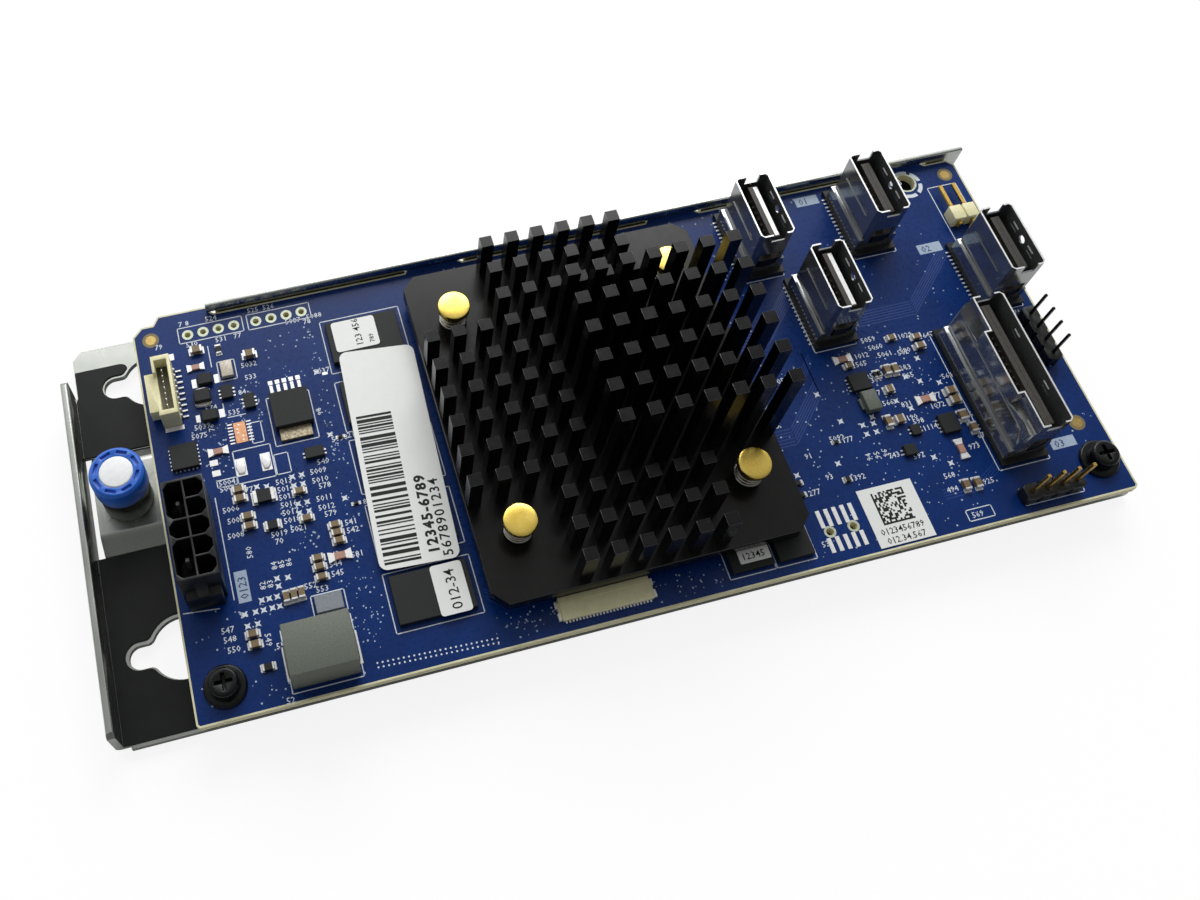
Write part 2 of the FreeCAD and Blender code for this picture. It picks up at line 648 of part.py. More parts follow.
# Two-terminal parts: centre x, centre y, length, depth, height
capacitors = [(9.7, 59.4, 2.0, 1.25, 1.1), (17.9, 56.6, 2.0, 1.25, 1.2),
              (12.0, 33.8, 1.9, 1.1, 0.9), (12.0, 32.3, 1.9, 1.1, 0.9),
              (12.6, 29.2, 1.9, 1.1, 0.9), (12.6, 27.6, 1.9, 1.1, 0.9),
              (21.0, 31.3, 1.9, 1.0, 0.9), (21.2, 26.7, 1.9, 1.0, 0.9),
              (25.1, 24.6, 1.8, 1.0, 1.0), (25.15, 23.3, 1.8, 1.0, 1.0),
              (25.2, 22.0, 1.8, 1.0, 1.0), (21.5, 20.1, 1.8, 1.0, 1.0),
              (21.5, 18.7, 1.8, 1.0, 1.0), (21.5, 17.1, 1.8, 1.0, 1.0),
              (15.8, 15.4, 1.0, 1.8, 1.0), (16.95, 15.45, 1.0, 1.8, 1.0),
              (18.1, 15.5, 1.0, 1.8, 1.0), (10.0, 11.2, 1.8, 1.1, 1.0),
              (10.1, 9.6, 1.8, 1.1, 1.0), (right(30.2), 28.6, 1.1, 1.8, 1.0),
              (right(28.8), 28.5, 1.1, 1.8, 1.0), (right(22.9), 31.5, 1.8, 1.1, 1.0),
              (right(31.3), 25.3, 1.5, 1.3, 0.9), (right(33.9), 20.0, 1.1, 2.0, 1.0),
              (right(32.0), 19.9, 1.6, 1.4, 1.0), (right(21.7), 22.6, 1.9, 1.3, 1.1),
              (right(21.7), 20.9, 1.9, 1.3, 1.1), (right(21.7), 18.1, 1.4, 1.7, 1.0),
              (right(21.0), 15.7, 1.1, 1.7, 1.0), (right(26.7), 6.9, 1.1, 1.8, 1.0),
              (right(24.8), 6.8, 1.1, 1.8, 1.0), (right(26.9), 34.1, 1.6, 1.0, 0.8),
              (right(22.7), 33.3, 1.6, 1.0, 0.8), (right(35.9), 30.9, 1.5, 1.0, 0.8)]
save("ceramic_capacitors", [block(x, y, a, b, 0, h) for x, y, a, b, h in capacitors])
resistors = [(13.2, 58.8, 0.9, 1.6, 0.5), (15.6, 31.8, 3.4, 2.1, 0.9), (16.0, 26.9, 2.3, 1.4, 0.7),
             (11.3, 6.0, 1.8, 1.1, 0.6), (29.1, 38.8, 1.0, 0.5, 0.4), (29.0, 27.3, 1.0, 0.5, 0.4),
             (right(32.3), 28.4, 0.6, 1.2, 0.5), (right(31.6), 28.4, 0.5, 1.2, 0.5),
             (right(44.3), 12.4, 1.1, 0.9, 0.5), (right(43.5), 18.8, 1.1, 0.6, 0.4),
             (right(52.3), 13.7, 1.6, 0.8, 0.5), (right(52.5), 11.7, 1.6, 0.8, 0.5)]
save("chip_resistors", [block(x, y, a, b, 0, h) for x, y, a, b, h in resistors])
links = [(9.1, 56.4, 2.8, 1.4, 0.5), (10.1, 40.9, 3.2, 1.5, 0.5), (24.8, 19.7, 3.6, 1.7, 0.5),
         (right(36.4), 32.3, 3.2, 1.6, 0.5), (right(26.2), 22.3, 3.3, 1.7, 0.5),
         (right(24.5), 12.8, 1.6, 3.4, 0.5)]
save("shunt_links", [block(x, y, a, b, 0, h) for x, y, a, b, h in links])

# Release plunger: barrel on the bridge, pin with collar, knob, cap and spring
collar_top = bridge_top + 1.6
cap_floor = collar_top + plunger_travel + 5 * spring_wire
barrel_top = cap_floor + barrel_roof
knob_bottom = barrel_top + 0.3
knob_top = knob_bottom + knob_height
cap_radius = knob_radius - 1.55
barrel = cyl(plunger_x, plunger_y, bridge_top, barrel_top, barrel_radius)
barrel_bore = cyl(plunger_x, plunger_y, bridge_top + 0.6, cap_floor, 2.7)
barrel_holes = [barrel_bore, cyl(plunger_x, plunger_y, bridge_top - 1, barrel_top + 1, 1.25)]
barrel = cut(barrel, barrel_holes)
save("plunger_barrel", barrel)
pin_rod = cyl(plunger_x, plunger_y, tray_bottom + 0.5, knob_top - 1.2, 1.2)
collar = cyl(plunger_x, plunger_y, bridge_top + 0.9, collar_top, 2.4)
save("plunger_pin", fuse([pin_rod, collar]))
knob = cyl(plunger_x, plunger_y, knob_bottom, knob_top, knob_radius)
knob = knob.makeChamfer(0.4, [e for e in knob.Edges if e.BoundBox.ZMin > knob_top - 0.1])
knob_cuts = [cyl(plunger_x, plunger_y, knob_top - 1.2, knob_top + 1, cap_radius),
             cyl(plunger_x, plunger_y, knob_bottom - 1, knob_top, 1.2)]
for k in range(8):
    angle = math.pi * (k + 0.5) / 4.0
    pocket = block(plunger_x + cap_radius + 0.6, plunger_y, 0.5, 1.6, knob_top - 0.4, knob_top + 1)
    pocket.rotate(vec(plunger_x, plunger_y, 0), vec(0, 0, 1), math.degrees(angle))
    knob_cuts.append(pocket)
save("plunger_knob", cut(knob, knob_cuts))
cap_disc = cyl(plunger_x, plunger_y, knob_top - 1.2, knob_top + 0.1, cap_radius)
cap_disc = cap_disc.makeChamfer(0.2, [e for e in cap_disc.Edges if e.BoundBox.ZMin > knob_top])
save("plunger_cap", cap_disc)
save("plunger_spring", coil(plunger_x, plunger_y, collar_top, cap_floor, 1.9, spring_wire, 3.0))

# Paper labels
label_z = 1.1
label_top = 1.22
main_outline = [(30.0, 15.5), (42.2, 14.8), (44.0, 51.7), (31.9, 52.9)]
save("main_label", prism(main_outline, label_z, label_top))
save("upper_label", box(31.8, 39.0, 53.0, 58.6, label_z, label_top))
save("lower_label", box(37.1, 41.9, 6.6, 14.4, label_z, label_top))
save("code_label", box(104.6, 113.8, 0.6, 10.2, 0, 0.12))
save("chip_tag", box(82.5, 87.4, 3.25, 5.35, label_z, label_top))
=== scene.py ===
"""Looks of a RAID controller card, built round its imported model."""
import math
import random

import bmesh
import bpy
from mathutils import Matrix, Vector


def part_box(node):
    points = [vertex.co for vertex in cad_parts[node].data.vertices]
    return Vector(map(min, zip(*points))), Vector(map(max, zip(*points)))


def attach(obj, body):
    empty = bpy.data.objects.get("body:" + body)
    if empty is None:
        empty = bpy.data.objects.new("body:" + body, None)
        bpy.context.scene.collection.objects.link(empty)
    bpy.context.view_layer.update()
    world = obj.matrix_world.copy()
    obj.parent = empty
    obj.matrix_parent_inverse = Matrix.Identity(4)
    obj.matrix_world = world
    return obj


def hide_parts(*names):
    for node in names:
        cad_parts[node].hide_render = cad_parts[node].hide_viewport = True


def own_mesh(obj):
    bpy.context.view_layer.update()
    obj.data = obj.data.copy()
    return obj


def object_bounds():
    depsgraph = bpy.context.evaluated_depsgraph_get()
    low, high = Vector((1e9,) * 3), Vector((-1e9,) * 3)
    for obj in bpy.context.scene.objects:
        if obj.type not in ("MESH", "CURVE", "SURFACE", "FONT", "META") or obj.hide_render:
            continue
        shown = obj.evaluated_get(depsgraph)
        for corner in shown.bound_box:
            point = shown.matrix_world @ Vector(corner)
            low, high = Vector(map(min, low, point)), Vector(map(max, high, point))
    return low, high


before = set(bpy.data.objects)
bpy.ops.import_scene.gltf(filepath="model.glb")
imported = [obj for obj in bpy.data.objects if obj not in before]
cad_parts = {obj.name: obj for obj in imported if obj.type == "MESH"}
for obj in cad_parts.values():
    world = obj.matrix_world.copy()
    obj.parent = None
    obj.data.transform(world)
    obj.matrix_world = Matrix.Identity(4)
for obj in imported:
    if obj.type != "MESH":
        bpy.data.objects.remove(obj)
cad_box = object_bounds()

bl_info = {
    "name": "Controller card looks",
    "version": (1, 0, 0),
    "blender": (4, 5, 0),
    "location": "View3D > Sidebar > Card",
    "description": "Builds the detailed pieces and finishes of a tray-mounted controller card",
    "category": "Object",
}

# Board millimetres: x = 0, y = 0 at the board's front left corner, z = 0 on its top face
board_low, board_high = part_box("circuit_board")
TO_ROW = Matrix.Translation((board_low.x, board_low.y, board_high.z)) @ Matrix.Scale(0.001, 4)
TO_BOARD = TO_ROW.inverted()
BOARD_LENGTH = 148.5
CARD = "card"
PLUNGER = "plunger"
# Heights of the printed and plated layers, a little apart so that no two share one
TRACK_TOP = 0.005
VIA_TOP = 0.009
INK_TOP = 0.012
STAR_TOP = 0.014
RING_TOP = 0.02
PLATE_NUMERAL_TOP = INK_TOP + 0.01
CHIP_LABEL_TOP = 1.24
CODE_LABEL_TOP = 0.14


def at(x, y, z):
    return TO_ROW @ Vector((x, y, z))


def linear(hex_colour):
    """sRGB hex to a linear colour with alpha."""
    found = []
    for place in (0, 2, 4):
        value = int(hex_colour[place:place + 2], 16) / 255.0
        found.append(value / 12.92 if value <= 0.04045 else ((value + 0.055) / 1.055) ** 2.4)
    return (found[0], found[1], found[2], 1.0)


# Sizes and colours a user would change
class CardSizes(bpy.types.PropertyGroup):
    edge_break: bpy.props.FloatProperty(
        name="Edge break", description="Width of the small bevel on cut metal, in millimetres",
        default=0.12, min=0.02, max=0.5)
    fin_edge: bpy.props.FloatProperty(
        name="Fin edge", description="Bevel on the heatsink's fins, in millimetres",
        default=0.14, min=0.02, max=0.5)
    print_height: bpy.props.FloatProperty(
        name="Part numeral height", description="Height of the printed numerals, in millimetres",
        default=0.95, min=0.4, max=2.0)
    print_line: bpy.props.FloatProperty(
        name="Print line", description="Width of the printed outlines, in millimetres",
        default=0.16, min=0.08, max=0.4)
    seed: bpy.props.IntProperty(
        name="Seed", description="Start of the random draws for vias, bars, squares and numerals",
        default=7)


class CardColours(bpy.types.PropertyGroup):
    mask: bpy.props.FloatVectorProperty(
        name="Solder mask", description="Blue of the board", subtype="COLOR", size=4,
        default=linear("052C6A"), min=0.0, max=1.0)
    knob: bpy.props.FloatVectorProperty(
        name="Knob", description="Blue of the plunger's knob", subtype="COLOR", size=4,
        default=linear("1E62C8"), min=0.0, max=1.0)
    header: bpy.props.FloatVectorProperty(
        name="Cream header", description="Plastic of the side-entry header", subtype="COLOR",
        size=4, default=linear("E6E0B2"), min=0.0, max=1.0)
    paper: bpy.props.FloatVectorProperty(
        name="Label", description="Paper of the labels", subtype="COLOR", size=4,
        default=linear("EDEFEC"), min=0.0, max=1.0)


def sizes():
    return bpy.context.scene.card_sizes


def colours():
    return bpy.context.scene.card_colours


# Nodes and materials
def add_node(tree, kind, inputs=None, **settings):
    made = tree.nodes.new("ShaderNode" + kind)
    for key, value in settings.items():
        setattr(made, key, value)
    for socket, value in (inputs or {}).items():
        if isinstance(value, bpy.types.NodeSocket):
            tree.links.new(value, made.inputs[socket])
        else:
            made.inputs[socket].default_value = value
    return made


def per_metre(size_mm):
    """Pattern scale for features of this size, on coordinates in metres."""
    return 1000.0 / size_mm


class Finish:
    """A material with its shader, its object coordinates and short ways to shape a pattern."""

    def __init__(self, name, **constants):
        self.material = bpy.data.materials.new(name)
        self.material.use_nodes = True
        self.tree = self.material.node_tree
        self.tree.nodes.clear()
        self.shader = add_node(self.tree, "BsdfPrincipled")
        add_node(self.tree, "OutputMaterial", {"Surface": self.shader.outputs["BSDF"]})
        self.place = add_node(self.tree, "TexCoord").outputs["Object"]
        for socket, value in constants.items():
            self.shader.inputs[socket.replace("_", " ")].default_value = value

    def noise(self, size_mm, detail=3.0, stretch=None):
        place = self.place
        if stretch:
            place = add_node(self.tree, "Mapping", {"Vector": place, "Scale": stretch}).outputs[0]
        return add_node(self.tree, "TexNoise", {"Vector": place, "Scale": per_metre(size_mm),
                                                "Detail": detail}).outputs["Fac"]

    def ramp(self, value, stops):
        made = add_node(self.tree, "ValToRGB", {"Fac": value})
        band = made.color_ramp
        while len(band.elements) < len(stops):
            band.elements.new(0.5)
        for element, (position, colour) in zip(band.elements, stops):
            element.position = position
            element.color = colour
        return made.outputs["Color"]

    def span(self, value, low, high):
        return add_node(self.tree, "MapRange", {"Value": value, "From Min": 0.3, "From Max": 0.7,
                                                "To Min": low, "To Max": high}).outputs["Result"]

    def bump(self, height, depth_mm, strength=0.5):
        made = add_node(self.tree, "Bump", {"Height": height, "Strength": strength,
                                            "Distance": depth_mm / 1000.0})
        self.link(made.outputs["Normal"], "Normal")

    def link(self, output, socket):
        self.tree.links.new(output, self.shader.inputs[socket])


def grey(value):
    return (value, value, value, 1.0)


def shade(colour, factor):
    return (colour[0] * factor, colour[1] * factor, colour[2] * factor, 1.0)


def zinc_plated_steel():
    # Rolled sheet with a bright passivated zinc coat: a soft mirror with faint streaks
    f = Finish("zinc_plated_steel", Metallic=1.0)
    f.link(f.ramp(f.noise(9.0, 4.0), [(0.3, linear("A3A6A1")), (0.7, linear("B4B7B2"))]),
           "Base Color")
    f.link(f.span(f.noise(1.6, 3.0, (1.0, 0.12, 1.0)), 0.2, 0.3), "Roughness")
    f.bump(f.noise(0.6, 2.0), 0.01, 0.2)
    return f.material


def polyester_film():
    # Black polyester film, calendered: satin, with a very fine tooth
    f = Finish("black_polyester_film", Specular_IOR_Level=0.22)
    f.link(f.ramp(f.noise(2.5), [(0.35, linear("0E0F10")), (0.65, linear("131415"))]),
           "Base Color")
    f.link(f.span(f.noise(0.35, 2.0), 0.4, 0.5), "Roughness")
    f.bump(f.noise(0.25, 2.0), 0.005, 0.3)
    return f.material


def solder_mask():
    # Blue liquid photo-imaged mask over copper: glossy, slightly uneven where copper lies below
    f = Finish("blue_solder_mask", Specular_IOR_Level=0.2)
    mask = tuple(colours().mask)
    pour = f.ramp(f.noise(5.0, 2.0), [(0.42, shade(mask, 0.93)), (0.58, shade(mask, 1.06))])
    f.link(pour, "Base Color")
    f.link(f.span(f.noise(0.8, 3.0), 0.24, 0.34), "Roughness")
    f.bump(f.noise(0.7, 2.0), 0.006, 0.2)
    return f.material


def laminate_edge():
    # Routed glass-epoxy laminate: pale straw, with the layers as fine lines round the edge
    f = Finish("glass_epoxy_laminate", Roughness=0.6)
    f.link(f.ramp(f.noise(0.4, 3.0, (0.2, 0.2, 4.0)),
                  [(0.3, linear("CFCBA0")), (0.7, linear("E9E5C4"))]), "Base Color")
    f.bump(f.noise(0.2, 2.0), 0.02, 0.4)
    return f.material


def plain_finish(name, low, high, size_mm, rough, metallic=0.0, depth_mm=0.01, specular=0.5):
    """Colour, roughness and relief from one noise of a real grain size."""
    f = Finish(name, Metallic=metallic, Specular_IOR_Level=specular)
    f.link(f.ramp(f.noise(size_mm, 3.0), [(0.32, low), (0.68, high)]), "Base Color")
    f.link(f.span(f.noise(size_mm * 0.6, 2.0), rough[0], rough[1]), "Roughness")
    if depth_mm:
        f.bump(f.noise(size_mm * 0.4, 2.0), depth_mm, 0.35)
    return f.material


# Each finish: darker and lighter colour, grain in millimetres, roughness, metallic, relief in
# millimetres and specular level
FINISHES = {
    # Black anodised extrusion: near black on its walls, semi-gloss
    "black_anodised_aluminium": ("050506", "080909", 1.6, (0.19, 0.24), 0.0, 0.0, 0.27),
    # The milled flats between the fins, anodised too but smoother; drawn a little lighter and
    # warmer than the walls as painted sheen
    "anodised_flat_painted_sheen": ("090908", "0E0E0C", 2.0, (0.2, 0.26), 0.0, 0.0, 0.29),
    # Its sawn fin tips: bright grey metal on their bevels, a painted highlight for the thin glints
    # along the fin tops
    "fin_tip_painted_glint": ("7A7C7E", "A4A6A8", 0.5, (0.24, 0.36), 0.85, 0.0, 0.5),
    # Turned brass with a bright face
    "turned_brass": ("EECB5E", "F4D872", 2.4, (0.25, 0.29), 1.0, 0.0, 0.5),
    # Bright spring wire
    "spring_wire": ("A2A19C", "B7B6B1", 0.6, (0.16, 0.24), 1.0, 0.0, 0.5),
    # Stainless strip, drawn: a hazy mirror that takes up the board's blue
    "stainless_shell": ("929496", "A0A2A3", 5.0, (0.12, 0.16), 0.82, 0.0, 0.5),
    # The same strip where the shell's rim was blanked, bright and matt
    "blanked_rim": ("DADCDB", "EDEEED", 1.0, (0.3, 0.4), 0.9, 0.0, 0.5),
    # Glass-filled nylon, moulded: dark grey-black with a light satin skin
    "black_nylon": ("101113", "17191B", 0.4, (0.34, 0.44), 0.0, 0.006, 0.4),
    # The ports' heat-proof black nylon, drawn a warm dark grey on its faces inside the port:
    # painted light, against the black of its shaded foot
    "port_nylon_painted_lit": ("3B3833", "47433D", 0.5, (0.36, 0.46), 0.0, 0.004, 0.4),
    # Contact rows inside the ports, seen through the insulator's slots, drawn a dark brown-grey
    # metal
    "dark_brown_contact": ("504C45", "625D55", 0.4, (0.34, 0.44), 0.6, 0.0, 0.5),
    # Reference dots: thin gold, dull from handling
    "dull_gold": ("A28A50", "B89E62", 0.4, (0.36, 0.46), 0.8, 0.0, 0.5),
    # Epoxy moulding compound: flat charcoal with a fine eroded grain
    "epoxy_moulding": ("1B1D1D", "222424", 0.2, (0.5, 0.62), 0.0, 0.006, 0.28),
    # Tin plate on terminals and leads: bright and slightly cloudy
    "tin_plate": ("D4D5D4", "ECEDEC", 0.5, (0.3, 0.42), 0.55, 0.0, 0.5),
    # Reflowed solder on pads and chip ends: white and bright
    "levelled_solder": ("E6E7E6", "F7F7F6", 0.4, (0.28, 0.4), 0.35, 0.0, 0.6),
    # Thin gold over nickel
    "gold_flash": ("CBA24A", "DFBC66", 0.4, (0.24, 0.32), 1.0, 0.0, 0.5),
    # Pressed iron powder of a moulded choke: grey-green, dusty
    "pressed_iron_powder": ("5E645B", "6C7268", 0.25, (0.5, 0.65), 0.0, 0.01, 0.4),
    # Barium titanate ceramic of chip capacitors
    "capacitor_ceramic": ("6B5A3E", "86714E", 0.3, (0.4, 0.5), 0.0, 0.0, 0.5),
    # Screen-printed white epoxy ink
    "white_epoxy_ink": ("CFD8E2", "E2E8EE", 0.3, (0.5, 0.6), 0.0, 0.0, 0.4),
    # The same ink printed thin over the mask
    "pale_blue_ink": ("9DB0C6", "AEBFD2", 0.3, (0.5, 0.6), 0.0, 0.0, 0.4),
    # Black oxide screws
    "black_oxide_steel": ("0C0D0E", "151617", 0.4, (0.22, 0.32), 0.5, 0.0, 0.5),
    # Thermoplastic of the flat header
    "beige_nylon": ("E2DDAC", "ECE8BE", 0.9, (0.4, 0.5), 0.0, 0.003, 0.5),
    # The side header's cavity floor, drawn brown-olive: partly its contact row's tone, partly
    # painted shade in the recess
    "cavity_floor_contacts_and_shade": ("4C4A34", "5C5A42", 0.4, (0.45, 0.55), 0.0, 0.0, 0.4),
    # Printing ink on paper
    "black_print": ("101214", "17191B", 0.3, (0.5, 0.6), 0.0, 0.0, 0.3),
    # Exposed copper with an organic coat
    "coated_copper": ("B5825F", "CC9C7B", 0.4, (0.36, 0.46), 0.9, 0.0, 0.5),
    # Moulded white plastic
    "white_acetal": ("EEF1F3", "F8FAFB", 0.6, (0.28, 0.36), 0.0, 0.0, 0.5),
    # Machined steel of the plunger
    "turned_steel": ("6E716B", "7E817A", 0.5, (0.3, 0.4), 1.0, 0.004, 0.5),
    # Resistive film of the shunt links, brownish pink
    "resistor_film": ("A67A68", "BC9282", 0.3, (0.4, 0.5), 0.0, 0.0, 0.5),
    # Brushed heat tab of the transistor, tan from reflow, with slanted drawing marks
    "brushed_heat_tab": ("8C7F66", "C8BCA2", 0.5, (0.25, 0.4), 0.6, 0.004, 0.5),
    # Cream ceramic lid of the oscillator
    "cream_ceramic": ("B9AE9C", "DAD2C2", 0.35, (0.35, 0.45), 0.0, 0.004, 0.5),
    # Ground ferrite of the flat bead beside the choke
    "ground_ferrite": ("7C828A", "8A9098", 0.3, (0.42, 0.55), 0.0, 0.004, 0.4),
    # Tin round the plated holes, dulled to a pale green
    "hole_tin": ("B3BCA6", "C9CFBB", 0.4, (0.4, 0.5), 0.4, 0.0, 0.5),
    # Silicone gap pad
    "gap_pad": ("8C8F94", "9A9DA2", 0.4, (0.6, 0.7), 0.0, 0.01, 0.4),
}
made_finishes = {}


def finish(name):
    if name not in made_finishes:
        low, high, *rest = FINISHES[name]
        made_finishes[name] = plain_finish(name, linear(low), linear(high), *rest)
    return made_finishes[name]


def coloured(name, colour, size_mm, rough, spread=0.06, depth_mm=0.01):
    if name not in made_finishes:
        made_finishes[name] = plain_finish(name, shade(colour, 1.0 - spread),
                                           shade(colour, 1.0 + spread * 0.8), size_mm, rough,
                                           0.0, depth_mm)
    return made_finishes[name]


def special(maker):
    if maker.__name__ not in made_finishes:
        made_finishes[maker.__name__] = maker()
    return made_finishes[maker.__name__]


# Mesh helpers, all in board millimetres
def block(bm, x0, x1, y0, y1, z0, z1, bevel=0.0, finish_index=0, segments=1):
    middle = Vector(((x0 + x1) / 2, (y0 + y1) / 2, (z0 + z1) / 2))
    matrix = Matrix.Translation(middle) @ Matrix.Diagonal((x1 - x0, y1 - y0, z1 - z0, 1.0))
    made = bmesh.ops.create_cube(bm, size=1.0, matrix=matrix)
    edges = {edge for vert in made["verts"] for edge in vert.link_edges}
    for face in {face for vert in made["verts"] for face in vert.link_faces}:
        face.material_index = finish_index
    if bevel:
        bmesh.ops.bevel(bm, geom=list(edges), offset=bevel, segments=segments,
                        profile=0.5, affect="EDGES", material=-1)


def centred(bm, x, y, lx, ly, z0, z1, bevel=0.0, finish_index=0, segments=1):
    return block(bm, x - lx / 2, x + lx / 2, y - ly / 2, y + ly / 2, z0, z1, bevel, finish_index,
                 segments)


def drum(bm, x, y, z0, z1, radius, sides=32, bevel=0.0, finish_index=0, top=None):
    matrix = Matrix.Translation((x, y, (z0 + z1) / 2))
    made = bmesh.ops.create_cone(bm, cap_ends=True, segments=sides, radius1=radius,
                                 radius2=radius if top is None else top, depth=z1 - z0,
                                 matrix=matrix)
    faces = {face for vert in made["verts"] for face in vert.link_faces}
    for face in faces:
        face.material_index = finish_index
    if bevel:
        rim = [e for e in {e for v in made["verts"] for e in v.link_edges}
               if abs(e.verts[0].co.z - z1) < 1e-4 and abs(e.verts[1].co.z - z1) < 1e-4]
        result = bmesh.ops.bevel(bm, geom=rim, offset=bevel, segments=3, profile=0.5,
                                 affect="EDGES", material=-1)
        faces = {face for v in result["verts"] for face in v.link_faces}
    return faces


def plate(bm, points, z0, z1, finish_index=0):
    """A flat outline given a thickness."""
    ring = [bm.verts.new((p[0], p[1], z0)) for p in points]
    face = bm.faces.new(ring)
    made = bmesh.ops.extrude_face_region(bm, geom=[face])
    moved = [item for item in made["geom"] if isinstance(item, bmesh.types.BMVert)]
    bmesh.ops.translate(bm, vec=(0, 0, z1 - z0), verts=moved)
    faces = {f for v in ring + moved for f in v.link_faces}
    bmesh.ops.recalc_face_normals(bm, faces=list(faces))
    for f in faces:
        f.material_index = finish_index
    return faces


def flat(bm, points, z, finish_index=0):
    face = bm.faces.new([bm.verts.new((p[0], p[1], z)) for p in points])
    face.normal_update()
    if face.normal.z < 0:
        face.normal_flip()
    face.material_index = finish_index
    return face


def strip(bm, start, end, width, z, finish_index=0):
    """A flat line of print or copper."""
    along = Vector((end[0] - start[0], end[1] - start[1]))
    if along.length < 1e-6:
        return
    side = Vector((-along.y, along.x)).normalized() * (width / 2)
    tip = along.normalized() * (width / 2)
    a = Vector(start) - tip
    b = Vector(end) + tip
    flat(bm, [a + side, b + side, b - side, a - side], z, finish_index)


def rectangle(x0, x1, y0, y1):
    return [(x0, y0), (x1, y0), (x1, y1), (x0, y1)]


def outline(bm, x0, x1, y0, y1, width, z, finish_index=0):
    corners = rectangle(x0, x1, y0, y1)
    for k in range(4):
        strip(bm, corners[k], corners[(k + 1) % 4], width, z, finish_index)


def dot(bm, x, y, radius, z, sides=10, finish_index=0):
    points = [(x + radius * math.cos(2 * math.pi * k / sides),
               y + radius * math.sin(2 * math.pi * k / sides)) for k in range(sides)]
    flat(bm, points, z, finish_index)


def ring(bm, x, y, inner, outer, z, sides=20, finish_index=0):
    before = set(bm.verts)
    made = bmesh.ops.create_circle(bm, cap_ends=False, radius=outer, segments=sides,
                                   matrix=Matrix.Translation((x, y, z)))
    edges = list({e for v in made["verts"] for e in v.link_edges})
    grown = bmesh.ops.extrude_edge_only(bm, edges=edges)
    inside = [v for v in grown["geom"] if isinstance(v, bmesh.types.BMVert)]
    bmesh.ops.scale(bm, vec=(inner / outer, inner / outer, 1.0), verts=inside,
                    space=Matrix.Translation((-x, -y, -z)))
    for face in {f for v in set(bm.verts) - before for f in v.link_faces}:
        face.material_index = finish_index
        if face.normal.z < 0:
            face.normal_flip()


def coil(bm, x, y, z0, z1, radius, wire, turns, sides=6, steps=18, finish_index=0):
    """Round wire wound upwards with its ends closed."""
    lean = Matrix.Translation((x + radius, y, z0)) @ Matrix.Rotation(math.pi / 2, 4, "X")
    made = bmesh.ops.create_circle(bm, cap_ends=True, radius=wire / 2, segments=sides, matrix=lean)
    profile = made["verts"]
    face = list({f for v in profile for f in v.link_faces})
    count = int(turns * steps)
    before = set(bm.faces) - set(face)
    loop = list({e for v in profile for e in v.link_edges})
    bmesh.ops.spin(bm, geom=list(profile) + loop + face, cent=(x, y, z0), axis=(0, 0, 1),
                   dvec=(0, 0, (z1 - z0) / count),
                   angle=2 * math.pi * turns, steps=count, use_merge=False, use_duplicate=False)
    grown = set(bm.faces) - before
    bmesh.ops.recalc_face_normals(bm, faces=list(grown))
    for f in grown:
        f.material_index = finish_index
        f.smooth = True


def numerals(bm, text, x, y, height, z, angle=0.0, finish_index=0, centre=False, bold=0.008,
             spread=1.0):
    """Plain digits from the built-in font, laid flat."""
    curve = bpy.data.curves.new("numerals", "FONT")
    curve.body = text
    curve.size = height * 1.38
    curve.resolution_u = 1 if height < 1.4 else 3
    curve.offset = bold
    curve.space_character = spread
    if centre:
        curve.align_x = "CENTER"
    holder = bpy.data.objects.new("numerals", curve)
    mesh = bpy.data.meshes.new_from_object(holder)
    mesh.transform(Matrix.Translation((x, y, z)) @ Matrix.Rotation(math.radians(angle), 4, "Z"))
    before = set(bm.faces)
    bm.from_mesh(mesh)
    for face in set(bm.faces) - before:
        face.material_index = finish_index
    bpy.data.objects.remove(holder)
    bpy.data.meshes.remove(mesh)
    bpy.data.curves.remove(curve)


def counting_number(step, digits):
    """A plain number of so many digits, which only counts up."""
    unit = 10 ** (digits - 1)
    return str(5 * unit + step % (5 * unit))


def make_piece(name, bm, finishes, replaces=(), body=CARD, smooth_angle=35.0):
    """Turns a board-millimetre mesh into a finished object of the card."""
    bmesh.ops.transform(bm, matrix=TO_ROW, verts=bm.verts)
    for face in bm.faces:
        face.smooth = True
    for edge in bm.edges:
        if len(edge.link_faces) != 2 or edge.calc_face_angle(0.0) > math.radians(smooth_angle):
            edge.smooth = False
    mesh = bpy.data.meshes.new(name)
    bm.to_mesh(mesh)
    bm.free()
    for made in finishes:
        mesh.materials.append(made)
    piece = bpy.data.objects.new(name, mesh)
    bpy.context.scene.collection.objects.link(piece)
    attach(piece, body)
    if replaces:
        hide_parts(*replaces)
    return piece


def from_node(name):
    """The node's solid as a clean mesh in board millimetres, with flat faces in one piece."""
    bm = bmesh.new()
    bm.from_mesh(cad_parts[name].data)
    bmesh.ops.transform(bm, matrix=TO_BOARD, verts=bm.verts)
    bmesh.ops.remove_doubles(bm, verts=bm.verts, dist=0.0008)
    bmesh.ops.dissolve_limit(bm, angle_limit=math.radians(1.0), verts=bm.verts, edges=bm.edges)
    return bm


def sharp_edges(bm, angle=30.0, test=None):
    limit = math.radians(angle)
    return [e for e in bm.edges if len(e.link_faces) == 2 and e.calc_face_angle(0.0) > limit
            and (test is None or test(e))]


def round_edges(bm, width, segments=2, angle=30.0, test=None, finish_index=-1):
    bmesh.ops.bevel(bm, geom=sharp_edges(bm, angle, test), offset=width, segments=segments,
                    profile=0.5, affect="EDGES", material=finish_index, clamp_overlap=True)


def upright(edge):
    a, b = edge.verts[0].co, edge.verts[1].co
    return abs(a.x - b.x) < 1e-3 and abs(a.y - b.y) < 1e-3


